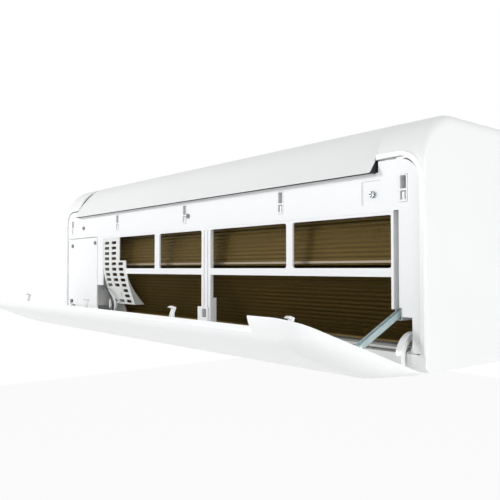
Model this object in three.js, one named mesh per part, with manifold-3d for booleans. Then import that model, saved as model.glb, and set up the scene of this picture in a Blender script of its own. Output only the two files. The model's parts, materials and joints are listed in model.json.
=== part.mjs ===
import * as THREE from 'three';
import { mergeVertices } from 'three/addons/utils/BufferGeometryUtils.js';
import Module from 'manifold-3d';

// Split air conditioner, indoor wall unit, with its front panel swung open.
// All lengths are in millimetres. Pieces are drawn in the unit's own section frame:
// x runs across the unit from its middle, b runs from the front rim towards the wall,
// z runs up from the underside. The last group moves the origin to the wall face.

// Overall sizes
const LENGTH = 1000;
const HEIGHT = 304;
const BODY_DEPTH = 185;
const WALL = 3;
const GAP = 0.3;
const OVERRUN = 6;
const CIRCLE_SIDES = 20;
const SMALL_SIDES = 10;
const HALF = LENGTH / 2;

// Front cabinet
const SHOULDER_RADIUS = 68;
const END_ROUNDING = 15;
const RIM_ROUNDING = 3;
const RIM_WIDTH = 8;
const RECESS_TOP = 250;
const RECESS_CORNER = 30;
const LIP_HEIGHT = 20;
const BOTTOM_ROUNDING = 6;
const CORNER_STEPS = 5;
const ARC_STEPS = 8;

// Top cover over the shoulder
const COVER_HALF = 429;
const COVER_REAR = 70;
const COVER_EDGE_OUT = 11.7;
const COVER_EDGE_HEIGHT = 233.6;
const COVER_CLEARANCE = 0.6;

// Intake grille in the top
const INTAKE_HALF = 440;
const INTAKE_FRONT = 80;
const INTAKE_DEPTH = 90;
const INTAKE_SLOT_WIDTH = 28;
const INTAKE_BAR = 7;
const INTAKE_EDGE = 8;
const INTAKE_ROWS = 2;
const GRILLE_THICKNESS = 3;

// Wall plate, chassis and the fan scroll
const PLATE_THICKNESS = 1.5;
const PLATE_HALF = 455;
const PLATE_BOTTOM = 24;
const PLATE_TOP = 280;
const PLATE_HOLE_RADIUS = 4;
const PLATE_HOLE_PITCH = 150;
const PLATE_SLOT_WIDTH = 60;
const PLATE_SLOT_HEIGHT = 14;
const HOOK_WIDTH = 40;
const HOOK_REACH = 5;
const HOOK_HEIGHT = 14;
const CHASSIS_TOP = 286;
const CHASSIS_RIB_PITCH = 90;
const PIPE_CHANNEL_DEPTH = 21;
const PIPE_CHANNEL_TOP = 58;
const FAN_BEHIND = 108;
const FAN_ABOVE = 118;
const FAN_RADIUS = 48;
const SCROLL_CLEARANCE = 6;
const SCROLL_GROWTH = 4;
const THROAT_REAR = 158;

// Fan wheel, motor and bearing
const FAN_LEFT = -290;
const FAN_RIGHT = 436;
const FAN_BLADES = 20;
const FAN_DISCS = 5;
const FAN_DISC_SIDES = 32;
const FAN_DISC_THICKNESS = 2.5;
const FAN_BLADE_THICKNESS = 1.6;
const FAN_BLADE_CHORD = 13;
const FAN_BLADE_LEAN = 0.62;
const FAN_HUB_RADIUS = 9;
const SHAFT_RADIUS = 4;
const BULKHEAD = 3;
const BULKHEAD_CLEARANCE = 5;
const BEARING_RADIUS = 14;
const BEARING_LENGTH = 12;
const MOTOR_RADIUS = 42;
const MOTOR_LENGTH = 82;
const MOTOR_BOSS_RADIUS = 17;
const MOTOR_BOSS_LENGTH = 8;
const MOTOR_FIN_COUNT = 2;
const BRACKET_WIDTH = 14;
const BRACKET_THICKNESS = 3;

// Cooling coil
const COIL_LEFT = -300;
const COIL_RIGHT = 448;
const COIL_THICKNESS = 25;
const COIL_LOWER = [[35, 116], [70, 30]];
const COIL_UPPER = [[37, 122], [47, 232]];
const COIL_REAR = [[62, 250], [140, 178]];
const END_PLATE = 1.5;
const END_PLATE_MARGIN = 2;
const BEND_RADIUS = 9.5;
const BEND_TUBE = 3.5;
const BEND_STEPS = 4;
const BEND_SIDES = 6;
const TUBE_SIDES = 8;
const BENDS_PER_SLAB = 4;
const PIPE_JOINT_SHARE = 0.6;
const FOOT_HEIGHT = 22;

// Pipes behind the chassis
const SUCTION_RADIUS = 6.35;
const LIQUID_RADIUS = 4;
const PIPE_BEND = 16;
const PIPE_INSET = 172.5;
const SUCTION_ABOVE = 44;
const LIQUID_ABOVE = 24;
const PIPE_END = 60;
const PIPE_STAGGER = 60;
const PIPE_STEPS = 26;
const NUT_LENGTH = 22;
const NUT_MARGIN = 4.5;

// Drain pan
const PAN_LEFT = -310;
const PAN_RIGHT = 446;
const PAN_BOTTOM = 9;
const PAN_FRONT = 28;
const PAN_SHELF = 22;
const PAN_TROUGH = 48;
const PAN_REAR = 88;
const PAN_NOSE = 62;

// Window frame
const FRAME_FRONT = 2.5;
const FRAME_THICKNESS = 3;
const FRAME_BAR_DEPTH = 8;
const FRAME_TOP = 248;
const FRAME_TOP_UNDER_COVER = 243;
const BAND_BOTTOM = 182;
const WINDOW_RAIL_LOW = 108;
const WINDOW_RAIL_HIGH = 118.7;
const WINDOW_EDGES_FROM_RIGHT = [47.5, 220, 232.4, 405.6, 439.7, 578, 592, 731];
const POST_BOTTOM = 24;
const GUARD_EDGE_FROM_RIGHT = 803;
const CONTROL_EDGE_FROM_RIGHT = 837;
const CONTROL_END_FROM_RIGHT = 981;
const CONTROL_TOP = 187;
const RIGHT_COLUMN_BOTTOM = 58;
const LEAD_HOLE_LOW = 60;
const LEAD_HOLE_HIGH = 84;
const SCREW_RECESS_FROM_RIGHT = [64, 95];
const SCREW_RECESS_LOW = 196;
const SCREW_RECESS_HIGH = 226;
const SCREW_RECESS_DEPTH = 1.5;
const GROOVE_WIDTH = 2;
const GROOVE_DEPTH = 1.5;

// Catches and screws in the band
const CATCHES_FROM_RIGHT = [31.5, 245, 494, 744, 965];
const CATCH_WIDTH = 12;
const CATCH_LOW = 188;
const CATCH_HIGH = 230;
const CATCH_DEPTH = 11;
const CATCH_WALL = 1.8;
const CATCH_TAB = 3.6;
const CATCH_PROUD = 1.2;
const HOOK_SLOT_LOW = 212;
const SCREWS_FROM_RIGHT = [78, 482, 905];
const SCREW_ABOVE = 209;
const SCREW_HEAD_RADIUS = 4.2;
const SCREW_HEAD_HEIGHT = 2.2;
const SCREW_SHANK_RADIUS = 1.8;
const SCREW_LENGTH = 12;
const SCREW_SLOT = 1;

// Front panel, drawn closed and turned open about its hinge line
const HINGE_BEHIND = 20.5;
const HINGE_ABOVE = 14;
const PANEL_STANDOFF = 0.43;
const PANEL_LOW = 31.2;
const PANEL_HIGH = 246.2;
const PANEL_BULGE = 25;
const PANEL_WALL = 2.5;
const PANEL_END_RADIUS = 46;
const PANEL_TOP_CORNER = 30;
const PANEL_LOW_CORNER = 10;
const PANEL_COVER_GAP = 1;
const NOTCH_FLARE = 7;
const PANEL_OPEN_DEGREES = 70.5;
const PANEL_HOOK_WIDTH = 2.4;
const PANEL_HOOK_LOW = 217;
const PANEL_HOOK_HIGH = 226;
const PANEL_HOOK_REACH = 8;

// Hinge arms and pins
const ARM_WIDTH = 8.5;
const ARM_INNER_RADIUS = 22.5;
const ARM_OUTER_RADIUS = 30;
const ARM_FROM_RIGHT = 27;
const ARM_HUB_RADIUS = 6;
const PIN_RADIUS = 3;
const PIN_CLEARANCE = 0.3;
const PIN_LUG_THICKNESS = 3;
const ARM_START_DEGREES = 55;
const ARM_END_DEGREES = 200;

// Stay arm and its channel
const STAY_LENGTH = 95;
const STAY_FROM_RIGHT = 42;
const STAY_WIDTH = 6.6;
const STAY_HEIGHT = 7;
const STAY_WALL = 1.2;
const STAY_PIVOT_BEHIND = -65.2;
const STAY_PIVOT_ABOVE = 31;
const STAY_PIN_RADIUS = 1.6;
const STAY_SLIDER_BEHIND = 20.5;
const STAY_SLIDER_ABOVE = 72;
const CHANNEL_FRONT = 6;
const CHANNEL_DEPTH = 24;
const CHANNEL_LOW = 57;
const CHANNEL_HIGH = 201;
const CHANNEL_WALL = 0.8;
const CHANNEL_CLEARANCE = 0.3;

// Outlet, louver and vanes
const OUTLET_FRONT = 92;
const LOUVER_END_GAP = 6;
const LOUVER_MOTOR_LENGTH = 38;
const LOUVER_BEARING_LENGTH = 12;
const LOUVER_FRONT = 94.5;
const LOUVER_REAR = 156;
const LOUVER_PIVOT_BEHIND = 134;
const LOUVER_PIVOT_ABOVE = 10;
const LOUVER_THICKNESS = 3;
const LOUVER_CROWN = 2.5;
const LOUVER_PIN_RADIUS = 2.5;
const LOUVER_PIN_LENGTH = 14;
const VANES_PER_GROUP = 4;
const VANE_GROUPS = 2;
const VANE_PITCH = 92;
const VANE_THICKNESS = 2;
const VANE_LOW = 34;
const VANE_HIGH = 61;
const VANE_PIVOT_ABOVE = 47;
const VANE_FRONT = 93.5;
const VANE_REAR = 150;
const VANE_PIN_RADIUS = 2.5;
const LINK_HEIGHT = 4;
const LINK_WIDTH = 3;
const LINK_ABOVE_PIVOT = 9;
const LINK_FRONT = 100;
const LINK_CLEARANCE = 0.5;
const LINK_SWING_CLEARANCE = 0.8;

// Control box
const BOX_LEFT = -461;
const BOX_RIGHT = -341;
const BOX_LOW = 38;
const BOX_HIGH = 184;
const BOX_FRONT = 6.4;
const BOX_REAR = 58;
const BOX_WALL = 2.5;
const CONTROL_COVER_LOW = 36;
const CONTROL_NOTCH_ABOVE = 47;
const BOARD_THICKNESS = 1.6;
const BOARD_STANDOFF = 10;
const BOARD_LOW = 72;
const TERMINAL_HEIGHT = 20;
const TERMINAL_WIDTH = 72;
const TERMINAL_DEPTH = 18;
const TERMINAL_WAYS = 4;

// Clip at the foot of the centre post
const FILTER_CLIP_THICKNESS = 2;

// Coil guard, lead and clip
const GUARD_THICKNESS = 2;
const GUARD_FRONT = 10.8;
const GUARD_TOP = 186;
const GUARD_KNEE = 120;
const GUARD_LOW = 44.5;
const GUARD_LEAN = 20;
const GUARD_SLOT_WIDTH = 22;
const GUARD_SLOT_HEIGHT = 6;
const GUARD_ROW_PITCH = 11.3;
const GUARD_COLUMN_PITCH = 30;
const GUARD_FIRST_ROW = 172;
const GUARD_ROWS = 11;
const GUARD_STEP_ABOVE = 134.5;
const GUARD_FLANGE = 17;
const CLIP_RADIUS = 16;
const CLIP_THICKNESS = 5;
const CLIP_ABOVE = 42;
const LEAD_RADIUS = 2.6;
const LEAD_STEPS = 22;

const wasm = await Module();
wasm.setup();

const SIDE = new THREE.Vector3(1, 0, 0);
const BEHIND = new THREE.Vector3(0, 1, 0);
const UP = new THREE.Vector3(0, 0, 1);
const FRONTWARD = new THREE.Vector3(0, -1, 0);
const radians = THREE.MathUtils.degToRad;
const fromRight = (distance) => HALF - distance;

// The air path lies between the inner faces of the two bulkheads
const ductLeft = FAN_LEFT - 2 * BULKHEAD - BULKHEAD_CLEARANCE + BULKHEAD;
const ductRight = FAN_RIGHT + BULKHEAD_CLEARANCE;
const louverLeft = ductLeft + LOUVER_END_GAP;
const louverRight = ductRight - LOUVER_END_GAP;

// Closed three.js geometry to a solid that can be joined and cut, and back
function solidOf(geometry) {
  const bare = geometry.clone();
  bare.deleteAttribute('normal');
  bare.deleteAttribute('uv');
  const merged = mergeVertices(bare);
  return new wasm.Manifold(new wasm.Mesh({
    numProp: 3,
    vertProperties: new Float32Array(merged.attributes.position.array),
    triVerts: new Uint32Array(merged.index.array),
  }));
}

function geometryOf(solid) {
  const mesh = solid.getMesh();
  const geometry = new THREE.BufferGeometry();
  geometry.setAttribute('position', new THREE.BufferAttribute(mesh.vertProperties, mesh.numProp));
  geometry.setIndex(new THREE.BufferAttribute(mesh.triVerts, 1));
  return geometry;
}

const join = (...solids) => solids.reduce((whole, next) => whole.add(next));
const cut = (body, ...tools) => tools.reduce((rest, tool) => rest.subtract(tool), body);

// A box between two corners
function block(x0, x1, b0, b1, z0, z1) {
  const box = new THREE.BoxGeometry(x1 - x0, b1 - b0, z1 - z0);
  box.translate((x0 + x1) / 2, (b0 + b1) / 2, (z0 + z1) / 2);
  return solidOf(box);
}

const shapeOf = (points) => new THREE.Shape(points.map(([u, v]) => new THREE.Vector2(u, v)));

// A [b, z] profile swept across the unit from x0 to x1
function sweep(points, x0, x1) {
  const body = new THREE.ExtrudeGeometry(shapeOf(points), { depth: x1 - x0, bevelEnabled: false });
  body.applyMatrix4(new THREE.Matrix4().makeBasis(BEHIND, UP, SIDE));
  body.translate(x0, 0, 0);
  return solidOf(body);
}

// An [x, z] outline as a plate between two depths
function plate(points, b0, b1) {
  const shape = Array.isArray(points) ? shapeOf(points) : points;
  const options = { depth: b1 - b0, bevelEnabled: false, curveSegments: CORNER_STEPS };
  const body = new THREE.ExtrudeGeometry(shape, options);
  body.applyMatrix4(new THREE.Matrix4().makeBasis(SIDE, UP, FRONTWARD));
  body.translate(0, b1, 0);
  return solidOf(body);
}

// An [x, b] outline as a plate between two heights
function slab(points, z0, z1) {
  const body = new THREE.ExtrudeGeometry(shapeOf(points), { depth: z1 - z0, bevelEnabled: false });
  body.translate(0, 0, z0);
  return solidOf(body);
}

// Round bars along the three directions
function barAcross(radius, x0, x1, b, z, sides = CIRCLE_SIDES) {
  const bar = new THREE.CylinderGeometry(radius, radius, x1 - x0, sides);
  bar.rotateZ(-Math.PI / 2);
  bar.translate((x0 + x1) / 2, b, z);
  return solidOf(bar);
}

function barBehind(radius, b0, b1, x, z, sides = SMALL_SIDES) {
  const bar = new THREE.CylinderGeometry(radius, radius, b1 - b0, sides);
  bar.translate(x, (b0 + b1) / 2, z);
  return solidOf(bar);
}

// A tube along a curve
function tube(curve, radius, steps, sides = TUBE_SIDES) {
  const ring = Array.from({ length: sides }, (_, i) => {
    const turn = (2 * Math.PI * i) / sides;
    return [radius * Math.cos(turn), radius * Math.sin(turn)];
  });
  return solidOf(new THREE.ExtrudeGeometry(shapeOf(ring), { steps, extrudePath: curve }));
}

// Rings of equal point count joined into one closed body, with fan caps at both ends
function loft(rings) {
  const count = rings[0].length;
  const points = rings.flat();
  const faces = [];
  for (let r = 0; r + 1 < rings.length; r += 1) {
    for (let i = 0; i < count; i += 1) {
      const j = (i + 1) % count;
      const low = r * count;
      const high = low + count;
      faces.push(low + i, low + j, high + j, low + i, high + j, high + i);
    }
  }
  const flat = (ring) => ring.map(([, b, z]) => new THREE.Vector2(b, z));
  const caps = THREE.ShapeUtils.triangulateShape(flat(rings[0]), []);
  const last = (rings.length - 1) * count;
  for (const [i, j, k] of caps) {
    faces.push(k, j, i);
    faces.push(last + i, last + j, last + k);
  }
  const body = new THREE.BufferGeometry();
  body.setAttribute('position', new THREE.Float32BufferAttribute(points.flat(), 3));
  body.setIndex(faces);
  return solidOf(body);
}

// Depth of a quarter-round edge at a distance from the end
function roundOff(distance, radius) {
  const rest = Math.max(0, radius - distance);
  return radius - Math.sqrt(radius * radius - rest * rest);
}

// The unit's section at one end distance; skin is the distance inside the outer face
function cabinetOutline(distance, skin) {
  const frontFace = skin + roundOff(distance, RIM_ROUNDING);
  const top = HEIGHT - skin - roundOff(distance, END_ROUNDING);
  const shoulderBase = HEIGHT - SHOULDER_RADIUS;
  const rear = skin > 0 ? BODY_DEPTH + OVERRUN : BODY_DEPTH - GAP;
  const outline = [
    [frontFace + BOTTOM_ROUNDING, skin],
    [rear, skin],
    [rear, top],
  ];
  for (let i = 0; i <= ARC_STEPS; i += 1) {
    const turn = (Math.PI / 2) * (i / ARC_STEPS);
    outline.push([
      SHOULDER_RADIUS - (SHOULDER_RADIUS - frontFace) * Math.sin(turn),
      shoulderBase + (top - shoulderBase) * Math.cos(turn),
    ]);
  }
  outline.push([frontFace, skin + BOTTOM_ROUNDING]);
  return outline;
}

function cabinetBody(skin) {
  const stations = [];
  for (let i = 0; i <= CORNER_STEPS; i += 1) {
    const turn = (Math.PI / 2) * (i / CORNER_STEPS);
    stations.push(END_ROUNDING * (1 - Math.cos(turn)));
  }
  const left = stations.map((distance) => [-HALF + skin + distance, distance]);
  const right = stations.map((distance) => [HALF - skin - distance, distance]).reverse();
  return loft([...left, ...right].map(([x, distance]) => (
    cabinetOutline(distance, skin).map(([b, z]) => [x, b, z])
  )));
}

// Opening of the front recess, with round upper corners
function recessShape() {
  const half = HALF - RIM_WIDTH;
  const shape = new THREE.Shape();
  shape.moveTo(-half, LIP_HEIGHT);
  shape.lineTo(half, LIP_HEIGHT);
  shape.lineTo(half, RECESS_TOP - RECESS_CORNER);
  shape.absarc(half - RECESS_CORNER, RECESS_TOP - RECESS_CORNER, RECESS_CORNER, 0, Math.PI / 2);
  shape.absarc(-half + RECESS_CORNER, RECESS_TOP - RECESS_CORNER, RECESS_CORNER, Math.PI / 2, Math.PI);
  return shape;
}

// Two lugs with a pin seat behind the lip for each hinge arm
function hingeLugs() {
  const lugs = [];
  for (const sign of [-1, 1]) {
    for (const offset of [-1, 1]) {
      const middle = sign * (fromRight(ARM_FROM_RIGHT) - ARM_WIDTH / 2);
      const inner = middle + offset * (ARM_WIDTH / 2 + GAP);
      const outer = inner + offset * PIN_LUG_THICKNESS;
      const low = Math.min(inner, outer);
      const high = Math.max(inner, outer);
      const lug = join(
        block(low, high, WALL / 2, HINGE_BEHIND, WALL / 2, HINGE_ABOVE),
        barAcross(ARM_HUB_RADIUS, low, high, HINGE_BEHIND, HINGE_ABOVE, SMALL_SIDES),
        block(low, high, HINGE_BEHIND - ARM_HUB_RADIUS, HINGE_BEHIND + ARM_HUB_RADIUS, WALL / 2, HINGE_ABOVE),
      );
      const seat = PIN_RADIUS + PIN_CLEARANCE;
      lugs.push(cut(lug, barAcross(seat, low - OVERRUN, high + OVERRUN, HINGE_BEHIND, HINGE_ABOVE, SMALL_SIDES)));
    }
  }
  return lugs;
}

function frontCabinet() {
  const shell = cut(cabinetBody(0), cabinetBody(WALL));
  const coverHalf = COVER_HALF + COVER_CLEARANCE;
  const opened = cut(
    shell,
    plate(recessShape(), -OVERRUN, SHOULDER_RADIUS / 2),
    block(-coverHalf, coverHalf, -OVERRUN, COVER_REAR + GAP, COVER_EDGE_HEIGHT, HEIGHT + OVERRUN),
    block(-INTAKE_HALF, INTAKE_HALF, INTAKE_FRONT, INTAKE_FRONT + INTAKE_DEPTH, HEIGHT - OVERRUN, HEIGHT + OVERRUN),
    block(ductLeft + GAP, ductRight - GAP, OUTLET_FRONT, THROAT_REAR, -OVERRUN, OVERRUN),
  );
  return join(opened, ...hingeLugs());
}

// The cover's outer curve runs from its front edge over the shoulder
function topCover() {
  const outer = new THREE.SplineCurve([
    new THREE.Vector2(-COVER_EDGE_OUT, COVER_EDGE_HEIGHT),
    new THREE.Vector2(SHOULDER_RADIUS / 3, HEIGHT - SHOULDER_RADIUS / 2 + SHOULDER_RADIUS / 7),
    new THREE.Vector2(SHOULDER_RADIUS * 0.73, HEIGHT - WALL),
    new THREE.Vector2(COVER_REAR, HEIGHT),
  ]).getPoints(ARC_STEPS);
  const inner = [];
  for (let i = outer.length - 1; i > 0; i -= 1) {
    const along = outer[i].clone().sub(outer[i - 1]).normalize();
    const inward = new THREE.Vector2(along.y, -along.x).multiplyScalar(WALL);
    inner.push(outer[i].clone().add(inward));
  }
  inner.push(new THREE.Vector2(outer[0].x + WALL, COVER_EDGE_HEIGHT + GAP));
  const points = [...outer, ...inner].map((point) => [Math.min(point.x, COVER_REAR), point.y]);
  return sweep(points.reverse(), -COVER_HALF, COVER_HALF);
}

function topGrille() {
  const half = INTAKE_HALF - GAP;
  const front = INTAKE_FRONT + GAP;
  const rear = INTAKE_FRONT + INTAKE_DEPTH - GAP;
  const top = HEIGHT - GAP;
  const pitch = INTAKE_SLOT_WIDTH + INTAKE_BAR;
  const count = Math.floor((2 * half - 2 * INTAKE_EDGE + INTAKE_BAR) / pitch);
  const rowDepth = (rear - front - (INTAKE_ROWS + 1) * INTAKE_EDGE) / INTAKE_ROWS;
  const first = -(count * pitch - INTAKE_BAR) / 2;
  const slots = [];
  for (let row = 0; row < INTAKE_ROWS; row += 1) {
    const b0 = front + INTAKE_EDGE + row * (rowDepth + INTAKE_EDGE);
    for (let i = 0; i < count; i += 1) {
      const x0 = first + i * pitch;
      slots.push(block(x0, x0 + INTAKE_SLOT_WIDTH, b0, b0 + rowDepth, top - 2 * OVERRUN, top + OVERRUN));
    }
  }
  return cut(block(-half, half, front, rear, top - GRILLE_THICKNESS, top), join(...slots));
}

// Steel plate on the wall, with mounting holes, slots and two hooks for the chassis
function wallPlate() {
  const front = BODY_DEPTH - PLATE_THICKNESS;
  const holes = [];
  for (let x = -PLATE_HALF + PLATE_HOLE_PITCH / 2; x < PLATE_HALF; x += PLATE_HOLE_PITCH) {
    for (const z of [PLATE_BOTTOM + PLATE_SLOT_HEIGHT, PLATE_TOP - PLATE_SLOT_HEIGHT]) {
      holes.push(barBehind(PLATE_HOLE_RADIUS, front - OVERRUN, BODY_DEPTH + OVERRUN, x, z, TUBE_SIDES));
    }
    const low = HEIGHT / 2 + PLATE_SLOT_HEIGHT;
    const slotLeft = x - PLATE_SLOT_WIDTH / 2;
    holes.push(block(slotLeft, slotLeft + PLATE_SLOT_WIDTH, front - OVERRUN, BODY_DEPTH + OVERRUN,
      low, low + PLATE_SLOT_HEIGHT));
  }
  const body = cut(block(-PLATE_HALF, PLATE_HALF, front, BODY_DEPTH, PLATE_BOTTOM, PLATE_TOP), join(...holes));
  const hooks = [-1, 1].map((sign) => {
    const middle = sign * (PLATE_HALF - PLATE_HOLE_PITCH);
    const x0 = middle - HOOK_WIDTH / 2;
    const x1 = middle + HOOK_WIDTH / 2;
    const reach = front - HOOK_REACH;
    return join(
      block(x0, x1, reach, front + PLATE_THICKNESS / 2, PLATE_TOP - PLATE_THICKNESS, PLATE_TOP),
      block(x0, x1, reach - PLATE_THICKNESS, reach, PLATE_TOP - PLATE_THICKNESS, PLATE_TOP + HOOK_HEIGHT),
    );
  });
  return join(body, ...hooks);
}

// Air path behind the fan, from the gutter under the rear coil slab down to the outlet
function scrollCurve() {
  const startDegrees = 50;
  const endDegrees = -32;
  const points = [];
  for (let i = 0; i <= ARC_STEPS; i += 1) {
    const share = i / ARC_STEPS;
    const turn = radians(startDegrees + (endDegrees - startDegrees) * share);
    const radius = FAN_RADIUS + SCROLL_CLEARANCE + SCROLL_GROWTH * share;
    points.push([FAN_BEHIND + radius * Math.cos(turn), FAN_ABOVE + radius * Math.sin(turn)]);
  }
  return points;
}

function rearChassis() {
  const rear = BODY_DEPTH - PLATE_THICKNESS - GAP;
  const wall = rear - WALL;
  const channel = rear - PIPE_CHANNEL_DEPTH;
  const scroll = scrollCurve();
  const [lipBehind, lipAbove] = scroll[0];
  const gutterLow = lipAbove + WALL / 3;
  const profile = [
    [wall, CHASSIS_TOP],
    [wall, gutterLow + 4 * WALL],
    [lipBehind + 4 * WALL, gutterLow],
    [lipBehind + WALL / 2, gutterLow + WALL],
    [lipBehind - WALL / 2, gutterLow + WALL],
    ...scroll,
    [THROAT_REAR, WALL + GAP],
    [channel, WALL + GAP],
    [channel, PIPE_CHANNEL_TOP],
    [rear, PIPE_CHANNEL_TOP + WALL],
    [rear, CHASSIS_TOP],
  ];
  const half = HALF - WALL - GAP;
  const scrollRear = FAN_BEHIND + FAN_RADIUS + SCROLL_CLEARANCE + SCROLL_GROWTH + WALL;
  const pocketLow = PIPE_CHANNEL_TOP + 3 * WALL;
  const pocketCount = Math.floor((2 * half) / CHASSIS_RIB_PITCH);
  const pockets = Array.from({ length: pocketCount }, (_, i) => {
    const x0 = -half + WALL + i * (2 * half - WALL) / pocketCount;
    const x1 = x0 + (2 * half - WALL) / pocketCount - WALL;
    return block(x0, x1, scrollRear, rear + OVERRUN, pocketLow, lipAbove);
  });
  const backWall = block(-half, half, wall, rear, PIPE_CHANNEL_TOP + WALL, CHASSIS_TOP);
  const airPath = sweep(profile, ductLeft - BULKHEAD, ductRight + BULKHEAD);
  const body = cut(join(backWall, airPath), join(...pockets));
  const hookSlots = [-1, 1].map((sign) => {
    const middle = sign * (PLATE_HALF - PLATE_HOLE_PITCH);
    const side = HOOK_WIDTH / 2 + WALL;
    return block(middle - side, middle + side, wall - OVERRUN, rear + OVERRUN,
      PLATE_TOP - 2 * WALL, CHASSIS_TOP + OVERRUN);
  });
  return join(cut(body, ...hookSlots), ...bulkheads(scroll));
}

// End walls of the air path; they stand inside the coil slabs and carry the fan
function bulkheads(scroll) {
  const inside = (slabLine, share, clearance) => {
    const [[b0, z0], [b1, z1]] = slabLine;
    const length = Math.hypot(b1 - b0, z1 - z0);
    const normal = [-(z1 - z0) / length, (b1 - b0) / length];
    const turned = slabLine === COIL_UPPER ? -1 : 1;
    const reach = (COIL_THICKNESS / 2 + clearance) * turned;
    return [b0 + (b1 - b0) * share + normal[0] * reach, z0 + (z1 - z0) * share + normal[1] * reach];
  };
  const lastScroll = scroll[scroll.length - 1];
  const outline = [
    [PAN_REAR + WALL + GAP, PAN_BOTTOM + 2 * WALL],
    [THROAT_REAR + 1, PAN_BOTTOM + 2 * WALL],
    [lastScroll[0] + 1, lastScroll[1]],
    ...scroll.slice(2, -1).reverse().map(([b, z]) => [b + 1, z]),
    [scroll[0][0] + 1, scroll[0][1] + 1],
    inside(COIL_REAR, 0.86, -COIL_THICKNESS - 2 * BULKHEAD_CLEARANCE),
    inside(COIL_REAR, 0.3, -COIL_THICKNESS - 2 * BULKHEAD_CLEARANCE),
    inside(COIL_UPPER, 0.8, BULKHEAD_CLEARANCE),
    inside(COIL_UPPER, 0.05, BULKHEAD_CLEARANCE),
    [PAN_REAR + WALL + GAP, PAN_NOSE + BULKHEAD_CLEARANCE],
  ];
  const left = ductLeft - BULKHEAD;
  const right = ductRight;
  const leftWall = cut(
    sweep(outline, left, left + BULKHEAD),
    barAcross(MOTOR_BOSS_RADIUS + GAP, left - OVERRUN, left + OVERRUN, FAN_BEHIND, FAN_ABOVE),
  );
  const rightWall = cut(
    sweep(outline, right, right + BULKHEAD),
    barAcross(BEARING_RADIUS + GAP, right - OVERRUN, right + OVERRUN, FAN_BEHIND, FAN_ABOVE),
  );
  return [leftWall, rightWall];
}

// One curved blade of the fan wheel as a closed strip between two arcs
function fanBlade(turn) {
  const steps = 2;
  const middle = FAN_RADIUS - FAN_BLADE_CHORD / 2 - FAN_DISC_THICKNESS / 2;
  const side = (offset) => Array.from({ length: steps + 1 }, (_, i) => {
    const share = i / steps - 0.5;
    const bow = FAN_BLADE_CHORD * 0.16 * (1 - 4 * share * share);
    const along = FAN_BLADE_CHORD * share;
    const radial = middle + along * Math.cos(FAN_BLADE_LEAN) - (bow + offset) * Math.sin(FAN_BLADE_LEAN);
    const tangent = along * Math.sin(FAN_BLADE_LEAN) + (bow + offset) * Math.cos(FAN_BLADE_LEAN);
    return [
      FAN_BEHIND + radial * Math.cos(turn) - tangent * Math.sin(turn),
      FAN_ABOVE + radial * Math.sin(turn) + tangent * Math.cos(turn),
    ];
  });
  const half = FAN_BLADE_THICKNESS / 2;
  return sweep([...side(-half), ...side(half).reverse()], FAN_LEFT + GAP, FAN_RIGHT - GAP);
}

// Cross-flow wheel: discs along the shaft line joined by a ring of curved blades
function blowerWheel() {
  const blades = Array.from({ length: FAN_BLADES }, (_, i) => fanBlade((2 * Math.PI * i) / FAN_BLADES));
  const span = FAN_RIGHT - FAN_LEFT - FAN_DISC_THICKNESS;
  const discs = Array.from({ length: FAN_DISCS }, (_, i) => {
    const x0 = FAN_LEFT + (span * i) / (FAN_DISCS - 1);
    const disc = barAcross(FAN_RADIUS, x0, x0 + FAN_DISC_THICKNESS, FAN_BEHIND, FAN_ABOVE, FAN_DISC_SIDES);
    const isEnd = i === 0 || i === FAN_DISCS - 1;
    const bore = FAN_RADIUS - FAN_BLADE_CHORD - 2 * FAN_DISC_THICKNESS;
    const open = barAcross(bore, x0 - OVERRUN, x0 + OVERRUN, FAN_BEHIND, FAN_ABOVE);
    return isEnd ? disc : cut(disc, open);
  });
  const leftStub = FAN_LEFT - 2 * BULKHEAD - MOTOR_BOSS_LENGTH + GAP;
  const rightStub = FAN_RIGHT + BULKHEAD_CLEARANCE + BEARING_LENGTH;
  const stubs = [
    barAcross(SHAFT_RADIUS, leftStub, FAN_LEFT + GAP, FAN_BEHIND, FAN_ABOVE, SMALL_SIDES),
    barAcross(SHAFT_RADIUS, FAN_RIGHT - GAP, rightStub, FAN_BEHIND, FAN_ABOVE, SMALL_SIDES),
    barAcross(FAN_HUB_RADIUS, FAN_LEFT - BULKHEAD, FAN_LEFT + GAP, FAN_BEHIND, FAN_ABOVE, SMALL_SIDES),
  ];
  return join(...discs, ...blades, ...stubs);
}

function fanBearing() {
  const x0 = FAN_RIGHT + BULKHEAD_CLEARANCE - BULKHEAD / 2;
  const x1 = x0 + BEARING_LENGTH;
  const bore = SHAFT_RADIUS + GAP;
  return cut(
    barAcross(BEARING_RADIUS, x0, x1, FAN_BEHIND, FAN_ABOVE),
    barAcross(bore, x0 - OVERRUN, x1 + OVERRUN, FAN_BEHIND, FAN_ABOVE, SMALL_SIDES),
  );
}

const motorRight = FAN_LEFT - 3 * BULKHEAD - 2 * BULKHEAD_CLEARANCE;

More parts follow.
